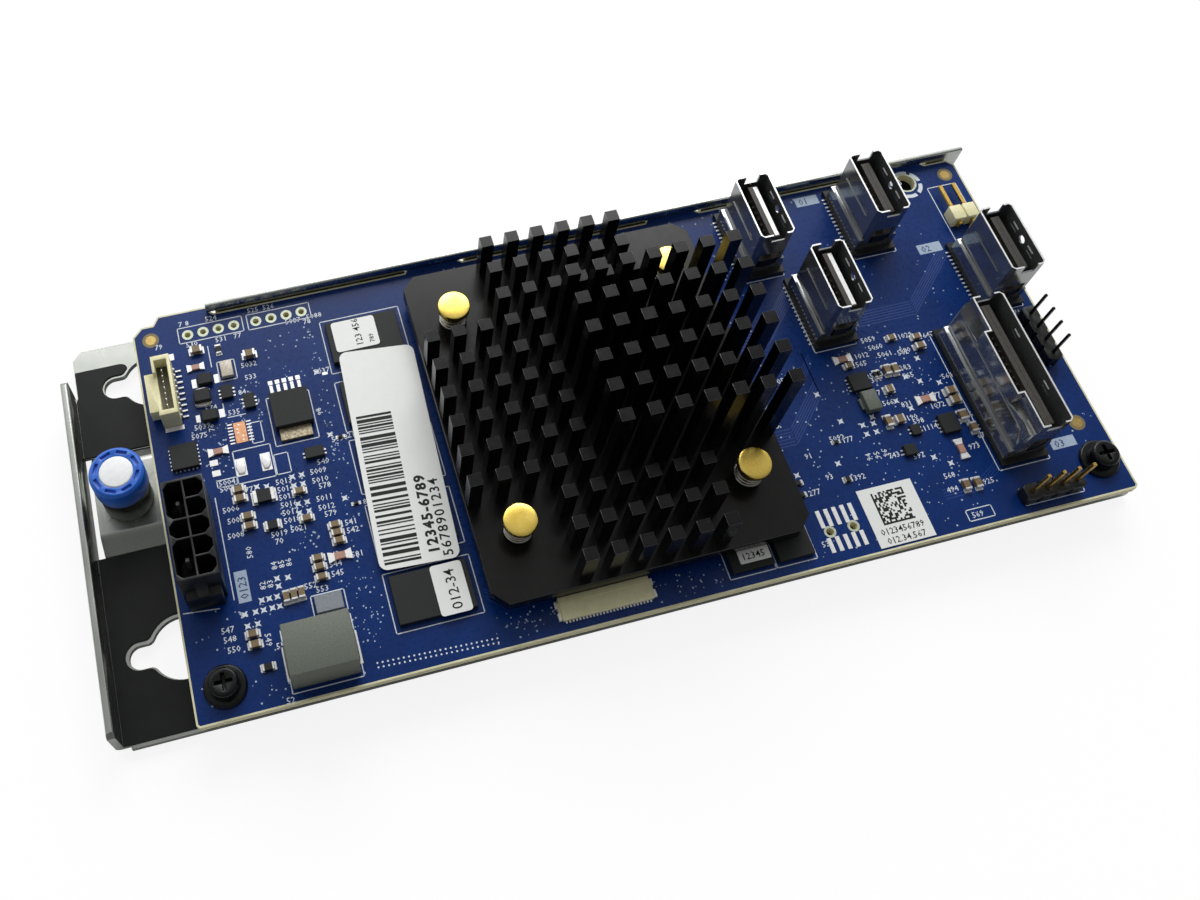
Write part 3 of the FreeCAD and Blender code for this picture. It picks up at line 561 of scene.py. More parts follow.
def refined(node, finishes, width, segments=2, body=CARD, name=None, angle=30.0,
            second=None):
    """A node's solid with rounded edges; faces that pass the test take the second finish."""
    bm = from_node(node)
    round_edges(bm, width, segments, angle)
    for face in bm.faces:
        if second and second(face):
            face.material_index = 1
    return make_piece(name or node + "_finished", bm, finishes, (node,), body)


def height_of(face):
    return face.calc_center_median().z


def spread_evenly(middle, pitch, count):
    """Places at one pitch, centred on the middle."""
    return [middle + pitch * (n - (count - 1) / 2) for n in range(count)]


def right(distance):
    """The x of a place this far in from the board's right edge."""
    return BOARD_LENGTH - distance


class CardOperator:
    """What every operator of the card shares."""

    bl_options = {"REGISTER", "UNDO"}

    @classmethod
    def poll(cls, context):
        return context.scene is not None


class CARD_OT_tray(CardOperator, bpy.types.Operator):
    """Sheet-steel tray with its flanges, keyholes and lanced bridge"""

    bl_idname = "card.tray"
    bl_label = "Tray"

    def execute(self, context):
        refined("tray", [special(zinc_plated_steel)], sizes().edge_break, 2)
        refined("board_standoffs", [finish("turned_steel")], 0.12, 1)
        return {"FINISHED"}


class CARD_OT_film(CardOperator, bpy.types.Operator):
    """Black insulating film glued on the tray"""

    bl_idname = "card.film"
    bl_label = "Insulator film"

    def execute(self, context):
        refined("insulator_film", [special(polyester_film)], 0.04, 1)
        return {"FINISHED"}


class CARD_OT_board(CardOperator, bpy.types.Operator):
    """Board laminate with its mask set back from the routed edge"""

    bl_idname = "card.board"
    bl_label = "Circuit board"

    def execute(self, context):
        bm = from_node("circuit_board")
        for face in bm.faces:
            face.material_index = 0 if abs(face.normal.z) > 0.9 else 1
        tops = [f for f in bm.faces if abs(f.normal.z) > 0.9]
        made = bmesh.ops.inset_region(bm, faces=tops, thickness=0.28, depth=0.0,
                                      use_boundary=True, use_even_offset=True)
        for face in made["faces"]:
            face.material_index = 1
        make_piece("circuit_board_masked", bm, [special(solder_mask), special(laminate_edge)],
                   ("circuit_board",))
        return {"FINISHED"}


# The base plate's top lies below the first height, and every fin's sawn end above the second
PLATE_BELOW = 8.0
FIN_TIPS_ABOVE = 12.5
HEAD_THICKNESS = 1.1
HEAD_CROWN = [(0.35, 0.05), (0.5, 0.03), (0.6, 0.02)]
PIN_SHANK_RADIUS = 1.1
PIN_TIP_RADIUS = 0.75
PIN_BARB_RADIUS = 1.85
PIN_COIL_FOOT = 5.2
PIN_COIL_RADIUS = 2.1
PIN_COIL_WIRE = 0.36


class CARD_OT_heatsink(CardOperator, bpy.types.Operator):
    """Pin-fin heatsink, its push pins and springs, and the package below"""

    bl_idname = "card.heatsink"
    bl_label = "Heatsink"

    def execute(self, context):
        bm = from_node("heatsink")
        round_edges(bm, sizes().fin_edge, 1, 30.0, lambda e: not fin_tip(e))
        # The fin tips' bevels take the bright grey metal: painted highlight
        round_edges(bm, sizes().fin_edge * 1.3, 1, 60.0, fin_tip, 1)
        # Up-facing flats of the base plate take the lighter, warmer copy of the black: painted
        # sheen
        for face in bm.faces:
            if face.normal.z > 0.95 and height_of(face) < PLATE_BELOW:
                face.material_index = 2
        make_piece("heatsink_sawn", bm, [finish("black_anodised_aluminium"),
                                         finish("fin_tip_painted_glint"), finish("anodised_flat_painted_sheen")],
                   ("heatsink",))
        bm = bmesh.new()
        coils = bmesh.new()
        for low, high in solids_of("push_pins"):
            x = (low.x + high.x) / 2
            y = (low.y + high.y) / 2
            radius = (high.x - low.x) / 2
            under = high.z - HEAD_THICKNESS
            crown(bm, drum(bm, x, y, under, high.z - 0.1, radius, 56, 0.16), HEAD_CROWN)
            drum(bm, x, y, low.z + 1.4, under, PIN_SHANK_RADIUS, 24)
            drum(bm, x, y, low.z, low.z + 1.5, PIN_TIP_RADIUS, 24, 0.0, 0, PIN_BARB_RADIUS)
            coil(coils, x, y, PIN_COIL_FOOT, under - 0.22, PIN_COIL_RADIUS, PIN_COIL_WIRE, 4.0, 8,
                 26)
        make_piece("push_pins_turned", bm, [finish("turned_brass")], ("push_pins",))
        make_piece("push_pin_coils", coils, [finish("spring_wire")],
                   ("push_pin_springs",))
        refined("controller_chip", [finish("epoxy_moulding")], 0.08, 1)
        refined("thermal_pad", [finish("gap_pad")], 0.03, 1)
        return {"FINISHED"}


def fin_tip(edge):
    """Edges of the fins' sawn ends."""
    a, b = edge.verts[0].co, edge.verts[1].co
    return min(a.z, b.z) > FIN_TIPS_ABOVE and abs(a.z - b.z) < 1e-3


def crown(bm, faces, steps):
    """Crowns a round head from the rim inwards: width and rise of each ring."""
    top = max((f for f in faces if len(f.verts) > 8), key=lambda f: f.calc_center_median().z)
    for width, height in steps:
        bmesh.ops.inset_individual(bm, faces=[top], thickness=width, depth=height,
                                   use_even_offset=True)


class CARD_OT_screws(CardOperator, bpy.types.Operator):
    """Two black cross-head screws with washers"""

    bl_idname = "card.screws"
    bl_label = "Board screws"

    def execute(self, context):
        refined("board_screws", [finish("black_oxide_steel")], 0.1, 2)
        refined("screw_washers", [finish("black_oxide_steel")], 0.08, 2)
        return {"FINISHED"}


class CARD_OT_power(CardOperator, bpy.types.Operator):
    """Ten-cell power header and its pins"""

    bl_idname = "card.power"
    bl_label = "Power header"

    def execute(self, context):
        refined("power_header_housing", [finish("black_nylon")], 0.14, 2)
        refined("power_header_pins", [finish("tin_plate")], 0.1, 1)
        return {"FINISHED"}


# Shell and insulator of a port, measured from the shell's top and right side
SHELL_RIM = 0.2
SHELL_WALL = 0.35
# Above this height the housing's nylon takes the lighter warm grey: painted light
NYLON_PAINTED_LIT_ABOVE = 4.0
TONGUE_FROM_WALL = 1.95
TONGUE_WIDTH = 0.72
CONTACT_PITCH = 0.6
TAIL_PITCH = 0.8
# Ports whose tongue top is a bright solder-white strip: painted highlight
PAINTED_GLINT_TONGUES = (1, 3)
LAST_PORT_WITH_TAILS = 4


class CARD_OT_ports(CardOperator, bpy.types.Operator):
    """Five upright cable ports: drawn shells, black insulators and their contacts"""

    bl_idname = "card.ports"
    bl_label = "Cable ports"

    def execute(self, context):
        for k in range(1, 6):
            shell, housing = "port_%d_shell" % k, "port_%d_housing" % k
            low, high = solids_of(shell)[0]
            rim = high.z - SHELL_RIM
            refined(shell, [finish("stainless_shell"), finish("blanked_rim")],
                    0.05, 1, name=shell + "_drawn", angle=50.0,
                    second=lambda face: face.normal.z > 0.9 and height_of(face) > rim)
            # Housing faces above that height take the lighter nylon: painted light inside the port
            refined(housing, [finish("black_nylon"), finish("port_nylon_painted_lit")],
                    0.05, 1, name=housing + "_moulded",
                    second=lambda face: height_of(face) > NYLON_PAINTED_LIT_ABOVE)
            self.add_contacts(k, low, high)
        return {"FINISHED"}

    def add_contacts(self, k, low, high):
        """Tongue top, a bright solder-white strip as a painted highlight on some ports, contact
        row, solder tails and the wall's two latch slots.
        """
        bm = bmesh.new()
        wall = high.x - SHELL_WALL
        face_x = wall - TONGUE_FROM_WALL
        z = high.z - 2.0
        # The tongue's top strip: bright solder white on the listed ports as a painted highlight,
        # the lit nylon on the others
        block(bm, face_x - TONGUE_WIDTH - 0.03, face_x - 0.03, low.y + 1.2, high.y - 1.2, z,
              z + 0.05, 0.0, 0 if k in PAINTED_GLINT_TONGUES else 1)
        count = int((high.y - low.y - 3.4) / CONTACT_PITCH)
        for y in spread_evenly((low.y + high.y) / 2, CONTACT_PITCH, count):
            block(bm, face_x, face_x + 0.06, y - 0.15, y + 0.15, 5.0, z - 0.3, 0.0, 2)
        foot_low, foot_high = solids_of("port_%d_housing" % k)[0]
        tails = int((foot_high.y - foot_low.y - 1.6) / TAIL_PITCH)
        if k > LAST_PORT_WITH_TAILS:
            tails = 0
        for y in spread_evenly((foot_low.y + foot_high.y) / 2, TAIL_PITCH, tails):
            block(bm, foot_low.x - 0.5, foot_low.x + 0.06, y - 0.13, y + 0.13, 0.0, 0.14, 0.0, 0)
        for share in (0.3, 0.7):
            y = low.y + (high.y - low.y) * share
            block(bm, wall - 0.36, wall - 0.3, y - 0.8, y + 0.8, high.z - 1.7, high.z - 1.45,
                  0.0, 0)
        make_piece("port_%d_contacts" % k, bm, [finish("levelled_solder"),
                                                finish("port_nylon_painted_lit"),
                                                finish("dark_brown_contact")])


CAVITY_FLOOR_BELOW = 2.5
FLAT_HEADER_LEGS = 26


class CARD_OT_headers(CardOperator, bpy.types.Operator):
    """Small headers: side-entry, flat, right-angle and straight ones"""

    bl_idname = "card.headers"
    bl_label = "Small headers"

    def execute(self, context):
        cream = coloured("cream_nylon", tuple(colours().header), 0.5, (0.4, 0.5))
        # Up-facing faces low in the cavity take the brown-olive: partly the contact row, partly
        # painted shade
        refined("side_header_housing", [cream, finish("cavity_floor_contacts_and_shade")],
                0.1, 2, name="side_header_moulded",
                second=lambda face: face.normal.z > 0.9 and height_of(face) < CAVITY_FLOOR_BELOW)
        refined("side_header_pins", [finish("tin_plate")], 0.04, 1)
        self.add_flat_header()
        refined("angle_header_base", [cream], 0.12, 2)
        refined("angle_header_pins", [finish("gold_flash")], 0.08, 1)
        refined("edge_header_base", [finish("black_nylon")], 0.1, 2)
        refined("front_header_base", [finish("black_nylon")], 0.1, 2)
        refined("edge_header_pins", [finish("black_oxide_steel")], 0.08, 1)
        refined("front_header_pins", [finish("gold_flash")], 0.08, 1)
        return {"FINISHED"}

    def add_flat_header(self):
        """Flat header with its row of legs, its slot line and four anchor lugs."""
        bm = from_node("flat_cable_header")
        round_edges(bm, 0.08, 2)
        low, high = solids_of("flat_cable_header")[0]
        end = 0.8
        pitch = (high.x - low.x - 2 * end) / (FLAT_HEADER_LEGS - 1)
        for k in range(FLAT_HEADER_LEGS):
            x = low.x + end + pitch * k
            block(bm, x - 0.13, x + 0.13, low.y - 0.32, low.y + 0.12, 0.0, 0.2, 0.0, 1)
            block(bm, x - 0.09, x + 0.09, low.y - 0.03, low.y + 0.1, 0.15, high.z - 0.25, 0.0, 1)
        block(bm, low.x + 0.5, high.x - 0.5, high.y - 0.95, high.y - 0.85, high.z - 0.02,
              high.z + 0.05, 0.0, 0)
        for x in (low.x - 0.28, high.x - 0.22):
            block(bm, x, x + 0.5, low.y + 0.1, low.y + 1.3, 0.0, 0.75, 0.1, 1)
            block(bm, x, x + 0.5, high.y - 1.4, high.y - 0.3, 0.0, 0.55, 0.1, 1)
        make_piece("flat_cable_header_legs", bm, [finish("beige_nylon"),
                                                  finish("levelled_solder")],
                   ("flat_cable_header",))


HEAT_TAB_FRONT_OF = 46.0
LEAD_PITCH = 0.65
LEAD_WIDTH = 0.26
FOUR_SIDED_ABOVE = 3.4


def on_bead(place):
    """Whether a place is on the flat ferrite bead beside the power choke."""
    return 19.0 < place.x < 24.5 and 11.0 < place.y < 15.0


class CARD_OT_packages(CardOperator, bpy.types.Operator):
    """Memory, logic, diodes, transistor, chokes and oscillator"""

    bl_idname = "card.packages"
    bl_label = "Packages"

    def execute(self, context):
        epoxy = finish("epoxy_moulding")
        for node in ("memory_chips", "front_memory_chips", "transistor_body"):
            refined(node, [epoxy], 0.07, 1)
        refined("logic_chips", [epoxy, finish("ground_ferrite")], 0.07, 1,
                second=lambda face: on_bead(face.calc_center_median()))
        self.add_leads()
        refined("diodes", [epoxy], 0.12, 1)
        refined("transistor_tab", [finish("tin_plate"), finish("brushed_heat_tab")], 0.06,
                1, name="transistor_tab_brushed",
                second=lambda face: face.calc_center_median().y < HEAT_TAB_FRONT_OF)
        refined("oscillator_can", [finish("cream_ceramic")], 0.1, 2)
        for node in ("power_choke", "small_chokes"):
            refined(node, [finish("pressed_iron_powder")], 0.14, 2)
        return {"FINISHED"}

    def add_leads(self):
        """Tinned leads of the small logic chips, on two sides or, where large, on four."""
        bm = bmesh.new()
        for low, high in solids_of("logic_chips"):
            if on_bead(low):
                continue
            wide = min(high.x - low.x, high.y - low.y) > FOUR_SIDED_ABOVE
            reach = 0.44 if wide else 0.7
            count = max(2, int((high.y - low.y - 0.2) / LEAD_PITCH))
            for y in spread_evenly((low.y + high.y) / 2, LEAD_PITCH, count):
                for x in (low.x, high.x):
                    centred(bm, x, y, reach, LEAD_WIDTH, 0.0, 0.12)
            count = int((high.x - low.x - 0.2) / LEAD_PITCH) if wide else 0
            for x in spread_evenly((low.x + high.x) / 2, LEAD_PITCH, count):
                for y in (low.y, high.y):
                    centred(bm, x, y, LEAD_WIDTH, reach, 0.0, 0.12)
        make_piece("logic_chip_leads", bm, [finish("tin_plate")])


class CARD_OT_chips(CardOperator, bpy.types.Operator):
    """Two-terminal parts with their plated ends and solder"""

    bl_idname = "card.chips"
    bl_label = "Chip parts"

    def execute(self, context):
        for node, body, share in (("ceramic_capacitors", "capacitor_ceramic", 0.22),
                                  ("chip_resistors", "epoxy_moulding", 0.2)):
            bm = bmesh.new()
            for low, high in solids_of(node):
                chip(bm, low, high, share)
            make_piece(node + "_plated", bm, [finish(body), finish("tin_plate")],
                       (node,))
        bm = bmesh.new()
        for low, high in solids_of("shunt_links"):
            link(bm, low, high)
        make_piece("shunt_links_soldered", bm, [finish("resistor_film"),
                                                finish("levelled_solder")],
                   ("shunt_links",))
        return {"FINISHED"}


def lengthwise(bm, low, high, start, stop, side, z0, z1, bevel, finish_index):
    """A block over a share of a chip part's length, whichever way the part lies."""
    if high.x - low.x >= high.y - low.y:
        block(bm, low.x + start, low.x + stop, low.y - side, high.y + side, z0, z1, bevel,
              finish_index)
    else:
        block(bm, low.x - side, high.x + side, low.y + start, low.y + stop, z0, z1, bevel,
              finish_index)


def chip(bm, low, high, share):
    """Ceramic body between two plated ends, each with its solder fillet."""
    span = max(high.x - low.x, high.y - low.y)
    end = span * share
    fillet = 0.28
    lengthwise(bm, low, high, end * 0.9, span - end * 0.9, -0.04, 0.02, high.z - 0.04, 0.04, 0)
    lengthwise(bm, low, high, 0.0, end, 0.0, 0.0, high.z, 0.09, 1)
    lengthwise(bm, low, high, span - end, span, 0.0, 0.0, high.z, 0.09, 1)
    lengthwise(bm, low, high, -fillet, end, 0.06, 0.0, 0.12, 0.05, 1)
    lengthwise(bm, low, high, span - end, span + fillet, 0.06, 0.0, 0.12, 0.05, 1)


def link(bm, low, high):
    """Two flared solder pads that meet under a short film."""
    x, y = (low.x + high.x) / 2, (low.y + high.y) / 2
    along_x = high.x - low.x >= high.y - low.y
    reach = max(high.x - low.x, high.y - low.y) / 2
    wide = min(high.x - low.x, high.y - low.y) / 2
    for way in (-1, 1):
        shape = [(0.28 * reach, -0.55 * wide), (reach, -wide), (reach, wide),
                 (0.28 * reach, 0.55 * wide)]
        if along_x:
            points = [(x + way * u, y + v) for u, v in shape]
        else:
            points = [(x + v, y + way * u) for u, v in shape]
        plate(bm, points, 0.0, high.z * 0.75, 1)
    if along_x:
        centred(bm, x, y, reach * 0.9, wide * 1.3, 0.0, high.z, 0.05, 0)
    else:
        centred(bm, x, y, wide * 1.3, reach * 0.9, 0.0, high.z, 0.05, 0)


def solids_of(node):
    """Low and high corner of each separate solid of a node, in board millimetres."""
    bm = from_node(node)
    left = set(bm.verts)
    found = []
    while left:
        seed = left.pop()
        group = {seed}
        reached = [seed]
        while reached:
            vert = reached.pop()
            for edge in vert.link_edges:
                other = edge.other_vert(vert)
                if other not in group:
                    group.add(other)
                    reached.append(other)
        left -= group
        low = Vector((min(v.co.x for v in group), min(v.co.y for v in group),
                      min(v.co.z for v in group)))
        high = Vector((max(v.co.x for v in group), max(v.co.y for v in group),
                       max(v.co.z for v in group)))
        found.append((low, high))
    bm.free()
    return sorted(found, key=lambda pair: (round(pair[0].x, 3), round(pair[0].y, 3)))


class CARD_OT_plunger(CardOperator, bpy.types.Operator):
    """Release plunger: barrel, pin, spring, blue knob and white cap"""

    bl_idname = "card.plunger"
    bl_label = "Release plunger"

    def execute(self, context):
        blue = coloured("blue_acetal", tuple(colours().knob), 0.6, (0.3, 0.4))
        refined("plunger_barrel", [finish("turned_steel")], 0.12, 2)
        refined("plunger_knob", [blue], 0.06, 2, PLUNGER)
        refined("plunger_cap", [finish("white_acetal")], 0.06, 2, PLUNGER)
        refined("plunger_pin", [finish("turned_steel")], 0.1, 2, PLUNGER)
        low, high = solids_of("plunger_spring")[0]
        wire = 0.3
        bm = bmesh.new()
        coil(bm, (low.x + high.x) / 2, (low.y + high.y) / 2, low.z + wire / 2, high.z - wire / 2,
             (high.x - low.x - wire) / 2, wire, 3.0, 6, 22)
        piece = make_piece("plunger_coil", bm, [finish("spring_wire")],
                           ("plunger_spring",))
        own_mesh(piece)
        return {"FINISHED"}


# Plain runs of counting digits: text, x, y, height and turn
TAGS = {"upper_label": [("123 456", 36.3, 53.4, 1.15, 90), ("789", 38.2, 53.6, 0.8, 90)],
        "lower_label": [("012-34", 40.5, 7.2, 1.6, 90)],
        "chip_tag": [("12345", 82.9, 3.75, 1.1, 0)]}
# The main label's left edge, from its back corner to its front one
LABEL_BACK = Vector((31.9, 52.9))
LABEL_FRONT = Vector((30.0, 15.5))
BARS_START = Vector((32.1, 41.0))
BARS_RUN = 25.0
BAR_LENGTH = 5.6
BAR_WIDTHS = (0.22, 0.22, 0.4, 0.6)
BAR_GAPS = (0.2, 0.25, 0.4, 0.55)
# The code label's square of cells, dark on two sides and drawn at random inside
SQUARE_CORNER = (106.6, 3.95)
SQUARE_SIDE = 5.3
SQUARE_CELLS = 18
DARK_SHARE = 0.48


class CARD_OT_labels(CardOperator, bpy.types.Operator):
    """Paper labels with bars and plain numerals"""

    bl_idname = "card.labels"
    bl_label = "Labels"

    def execute(self, context):
        paper = coloured("coated_paper", tuple(colours().paper), 1.2, (0.42, 0.52), 0.012, 0.002)
        ink = finish("black_print")
        draw = random.Random(sizes().seed)
        for node, lines in TAGS.items():
            bm = from_node(node)
            round_edges(bm, 0.2 if node == "chip_tag" else 0.5, 4, 30.0, upright)
            for text, x, y, height, angle in lines:
                numerals(bm, text, x, y, height, CHIP_LABEL_TOP, angle, 1)
            make_piece(node + "_printed", bm, [paper, ink], (node,))
        self.add_main_label(paper, ink, draw)
        self.add_code_label(paper, ink, draw)
        return {"FINISHED"}

    def add_main_label(self, paper, ink, draw):
        bm = from_node("main_label")
        round_edges(bm, 1.3, 5, 30.0, upright)
        z = CHIP_LABEL_TOP
        down = (LABEL_FRONT - LABEL_BACK).normalized()
        over = Vector((-down.y, down.x))
        reach = 0.0
        while reach < BARS_RUN:
            bar = draw.choice(BAR_WIDTHS)
            a = BARS_START + down * reach
            b = a + over * BAR_LENGTH
            flat(bm, [a, b, b + down * bar, a + down * bar], z, 1)
            reach += bar + draw.choice(BAR_GAPS)
        turn = math.degrees(math.atan2(-down.y, -down.x))
        numerals(bm, "12345-6789", 39.3, 16.2, 1.62, z, turn, 1, False, 0.085, 1.2)
        numerals(bm, "5678901234", 41.2, 15.35, 1.55, z, turn, 1, False, 0.03, 1.2)
        make_piece("main_label_printed", bm, [paper, ink], ("main_label",))

    def add_code_label(self, paper, ink, draw):
        bm = from_node("code_label")
        z = CODE_LABEL_TOP
        cell = SQUARE_SIDE / SQUARE_CELLS
        for row in range(SQUARE_CELLS):
            for column in range(SQUARE_CELLS):
                edge = row == 0 or column == 0
                if edge or draw.random() < DARK_SHARE:
                    x = SQUARE_CORNER[0] + column * cell
                    y = SQUARE_CORNER[1] + row * cell
                    flat(bm, rectangle(x, x + cell, y, y + cell), z, 1)
        numerals(bm, "0123456789", 109.2, 2.45, 1.05, z, 0, 1, True)
        numerals(bm, "012.34.567", 109.2, 0.95, 1.05, z, 0, 1, True)
        make_piece("code_label_printed", bm, [paper, ink], ("code_label",))


TRACK_WIDTH = 0.16
PLATE_NUMERALS = 1.3
VIA_RADII = (0.08, 0.1, 0.13, 0.16)
# Right of here each chip part gets a number drawn at random beside it
DRAWN_NUMERALS_FROM = 28.0
DRAWN_NUMBERS = (101, 1190)


class CARD_OT_print(CardOperator, bpy.types.Operator):
    """White print, tracks, pads and vias on the board"""

    bl_idname = "card.print"
    bl_label = "Board print"

    def execute(self, context):
        draw = random.Random(sizes().seed + 1)
        self.add_tracks()
        self.add_ink(draw)
        self.add_solder(draw)
        self.add_plating()
        return {"FINISHED"}

    def add_tracks(self):
        bm = bmesh.new()
        for points, count, pitch in TRACKS:
            for k in range(count):
                for a, b in zip(points, points[1:]):
                    strip(bm, (a[0], a[1] + k * pitch), (b[0], b[1] + k * pitch), TRACK_WIDTH,
                          TRACK_TOP)
        track = coloured("masked_track", shade(tuple(colours().mask), 1.5), 1.0, (0.28, 0.36))
        make_piece("masked_tracks", bm, [track])

    def add_ink(self, draw):
        line = sizes().print_line
        height = sizes().print_height
        bm = bmesh.new()
        z = INK_TOP
        for x0, x1, y0, y1 in OUTLINES:
            outline(bm, x0, x1, y0, y1, line, z)
        for start, end in LINES:
            strip(bm, start, end, line, z)
        for step, (x, y, digits, angle) in enumerate(NUMERALS, FIRST_COUNT):
            numerals(bm, counting_number(step, digits), x, y, height, z, angle)
        for node in ("ceramic_capacitors", "chip_resistors", "shunt_links", "logic_chips"):
            for low, high in solids_of(node):
                if low.x < DRAWN_NUMERALS_FROM:
                    continue
                text = str(draw.randint(*DRAWN_NUMBERS))
                y = (low.y + high.y) / 2 - 0.45
                x = high.x + 0.55 if draw.random() < 0.7 else low.x - 0.5 - 0.7 * len(text)
                numerals(bm, text, x, y, height, z)
        for k in range(24):
            x = 26.5 + 0.77 * k
            for y in (2.75, 2.1):
                dot(bm, x, y - 0.036 * k, 0.15, z, 8)
        for k in range(6):
            ring_arc(bm, right(10.5), 62.6, 2.2, 2.9, 60 * k + 6, 60 * k + 52, z)
        for x0, x1, y0, y1, text, angle in PLATES:
            flat(bm, rectangle(x0, x1, y0, y1), z, 1)
            x, y = x0 + 0.6, (y0 + y1) / 2 - PLATE_NUMERALS / 2
            if angle:
                x, y = (x0 + x1) / 2 + PLATE_NUMERALS / 2, y0 + 0.5
            numerals(bm, text, x, y, PLATE_NUMERALS, PLATE_NUMERAL_TOP, angle, 2)
        for x0, x1, y0, y1, count in VIA_FIELDS:
            for k in range(count):
                x, y = draw.uniform(x0, x1), draw.uniform(y0, y1)
                dot(bm, x, y, draw.choice(VIA_RADII), VIA_TOP, 8, 1)
        for x, y in STARS:
            star(bm, x, y, STAR_TOP)
        mask = coloured("board_blue_print", tuple(colours().mask), 1.0, (0.3, 0.4))
        make_piece("board_print", bm, [finish("white_epoxy_ink"), finish("pale_blue_ink"), mask])

    def add_solder(self, draw):
        bm = bmesh.new()
        for x, y, lx, ly in PADS:
            centred(bm, x, y, lx, ly, 0.0, 0.06, 0.025)
        for x, y, lx, ly in LUMPS:
            lump(bm, x, y, lx, ly, draw)
        for x, y, way in CRESCENTS:
            turns = [math.pi * k / 8 for k in range(9)]
            plate(bm, [(x + 1.35 * math.cos(turn), y + way * 0.55 * math.sin(turn))
                       for turn in turns], 0.0, 0.5)
        make_piece("solder_pads", bm, [finish("levelled_solder")])
        bm = bmesh.new()
        centred(bm, 14.05, 43.4, 1.9, 3.6, 0.0, 0.05, 0.02)
        for k in range(5):
            centred(bm, 13.6 + draw.uniform(0, 0.9), 42.1 + 0.65 * k, 0.28, 0.28, 0.03, 0.07,
                    0.02, 1)
        make_piece("exposed_copper_pad", bm, [finish("coated_copper"), finish("levelled_solder")])

    def add_plating(self):
        bm = bmesh.new()
        for k in range(4):
            for x, y in ((8.8 + 2.54 * k, 62.8), (20.1 + 2.54 * k, 62.7)):
                ring(bm, x, y, 0.5, 0.92, RING_TOP, 24)
        ring(bm, right(10.5), 63.0, 1.7, 2.0, RING_TOP, 28)
        for x in (98.1, 102.0):
            ring(bm, x, 5.1, 0.6, 0.95, RING_TOP, 24)
        make_piece("tinned_rings", bm, [finish("hole_tin")])
        bm = bmesh.new()
        for x, y in FIDUCIALS:
            dot(bm, x, y, 0.85, RING_TOP, 28)
            ring(bm, x, y, 0.85, 1.35, INK_TOP, 28, 1)
        laid_bare = coloured("laid_bare_laminate", linear("7E6E45"), 0.5, (0.5, 0.6))
        make_piece("gold_fiducials", bm, [finish("dull_gold"), laid_bare])


def ring_arc(bm, x, y, inner, outer, start, stop, z, steps=6, finish_index=0):
    points = []
    for radius, turns in ((outer, range(steps + 1)), (inner, range(steps, -1, -1))):
        for k in turns:
            angle = math.radians(start + (stop - start) * k / steps)
            points.append((x + radius * math.cos(angle), y + radius * math.sin(angle)))
    flat(bm, points, z, finish_index)


def lump(bm, x, y, lx, ly, draw):
    """Bare pad under an uneven pool of solder."""
    centred(bm, x, y, lx, ly, 0.0, 0.05, 0.02)
    points = []
    for k in range(14):
        angle = 2 * math.pi * k / 14
        swell = draw.uniform(0.8, 1.0) * 0.5
        points.append((x + lx * swell * math.cos(angle), y + ly * swell * math.sin(angle)))
    faces = plate(bm, points, 0.05, 0.3)
    rim = {e for f in faces for e in f.edges
           if min(e.verts[0].co.z, e.verts[1].co.z) > 0.29}
    bmesh.ops.bevel(bm, geom=list(rim), offset=0.22, segments=3, profile=0.5, affect="EDGES",
                    material=-1, clamp_overlap=True)


def star(bm, x, y, z):
    """Bare footprint of a chip part: a small square with its corners drawn out."""
    reach, waist = 0.46, 0.27
    points = []
    for k in range(8):
        radius = reach * math.sqrt(2) if k % 2 else waist
        angle = math.pi * k / 4
        points.append((x + radius * math.cos(angle), y + radius * math.sin(angle)))
    flat(bm, points, z)


# Where the board's print and pads lie, measured on the board in millimetres
FIDUCIALS = [(2.8, 63.2), (right(2.7), 63.0), (right(4.0), 12.5)]
# Printed boxes: x from and to, y from and to
OUTLINES = [(30.2, 43.5, 50.0, 59.9), (30.2, 43.5, 39.3, 48.3), (30.2, 43.5, 28.5, 37.8),
            (30.2, 43.5, 17.3, 26.6), (30.2, 43.5, 6.1, 15.3), (12.2, 18.1, 34.8, 40.4),
            (19.0, 25.9, 39.6, 48.2), (13.9, 24.3, 1.4, 10.9), (19.2, 24.2, 11.4, 14.7),
            (102.0, 109.2, 50.0, 64.2), (122.5, 130.2, 50.0, 64.2), (108.3, 115.8, 34.6, 48.6),
            (138.9, 146.6, 34.6, 48.6), (128.3, 137.2, 7.9, 33.2), (129.6, 139.8, 1.5, 4.3),
            (80.5, 87.9, 1.7, 12.4), (88.1, 94.6, 1.7, 12.4), (119.9, 124.2, 1.3, 3.1),
            (7.3, 17.9, 61.4, 64.3), (18.7, 29.2, 61.3, 64.2), (141.3, 146.8, 49.1, 60.9),
            (12.5, 15.3, 53.0, 56.6), (9.0, 12.1, 34.9, 36.1), (18.3, 20.5, 34.9, 38.3),
            (15.6, 17.4, 41.0, 44.6)]
LINES = [((8.3, 17.0), (8.3, 33.4)), ((0.8, 16.7), (6.0, 16.2)), ((12.6, 46.4), (15.4, 46.4)),
         ((11.6, 56.0), (11.6, 59.9)), ((12.2, 46.9), (12.2, 49.0))]
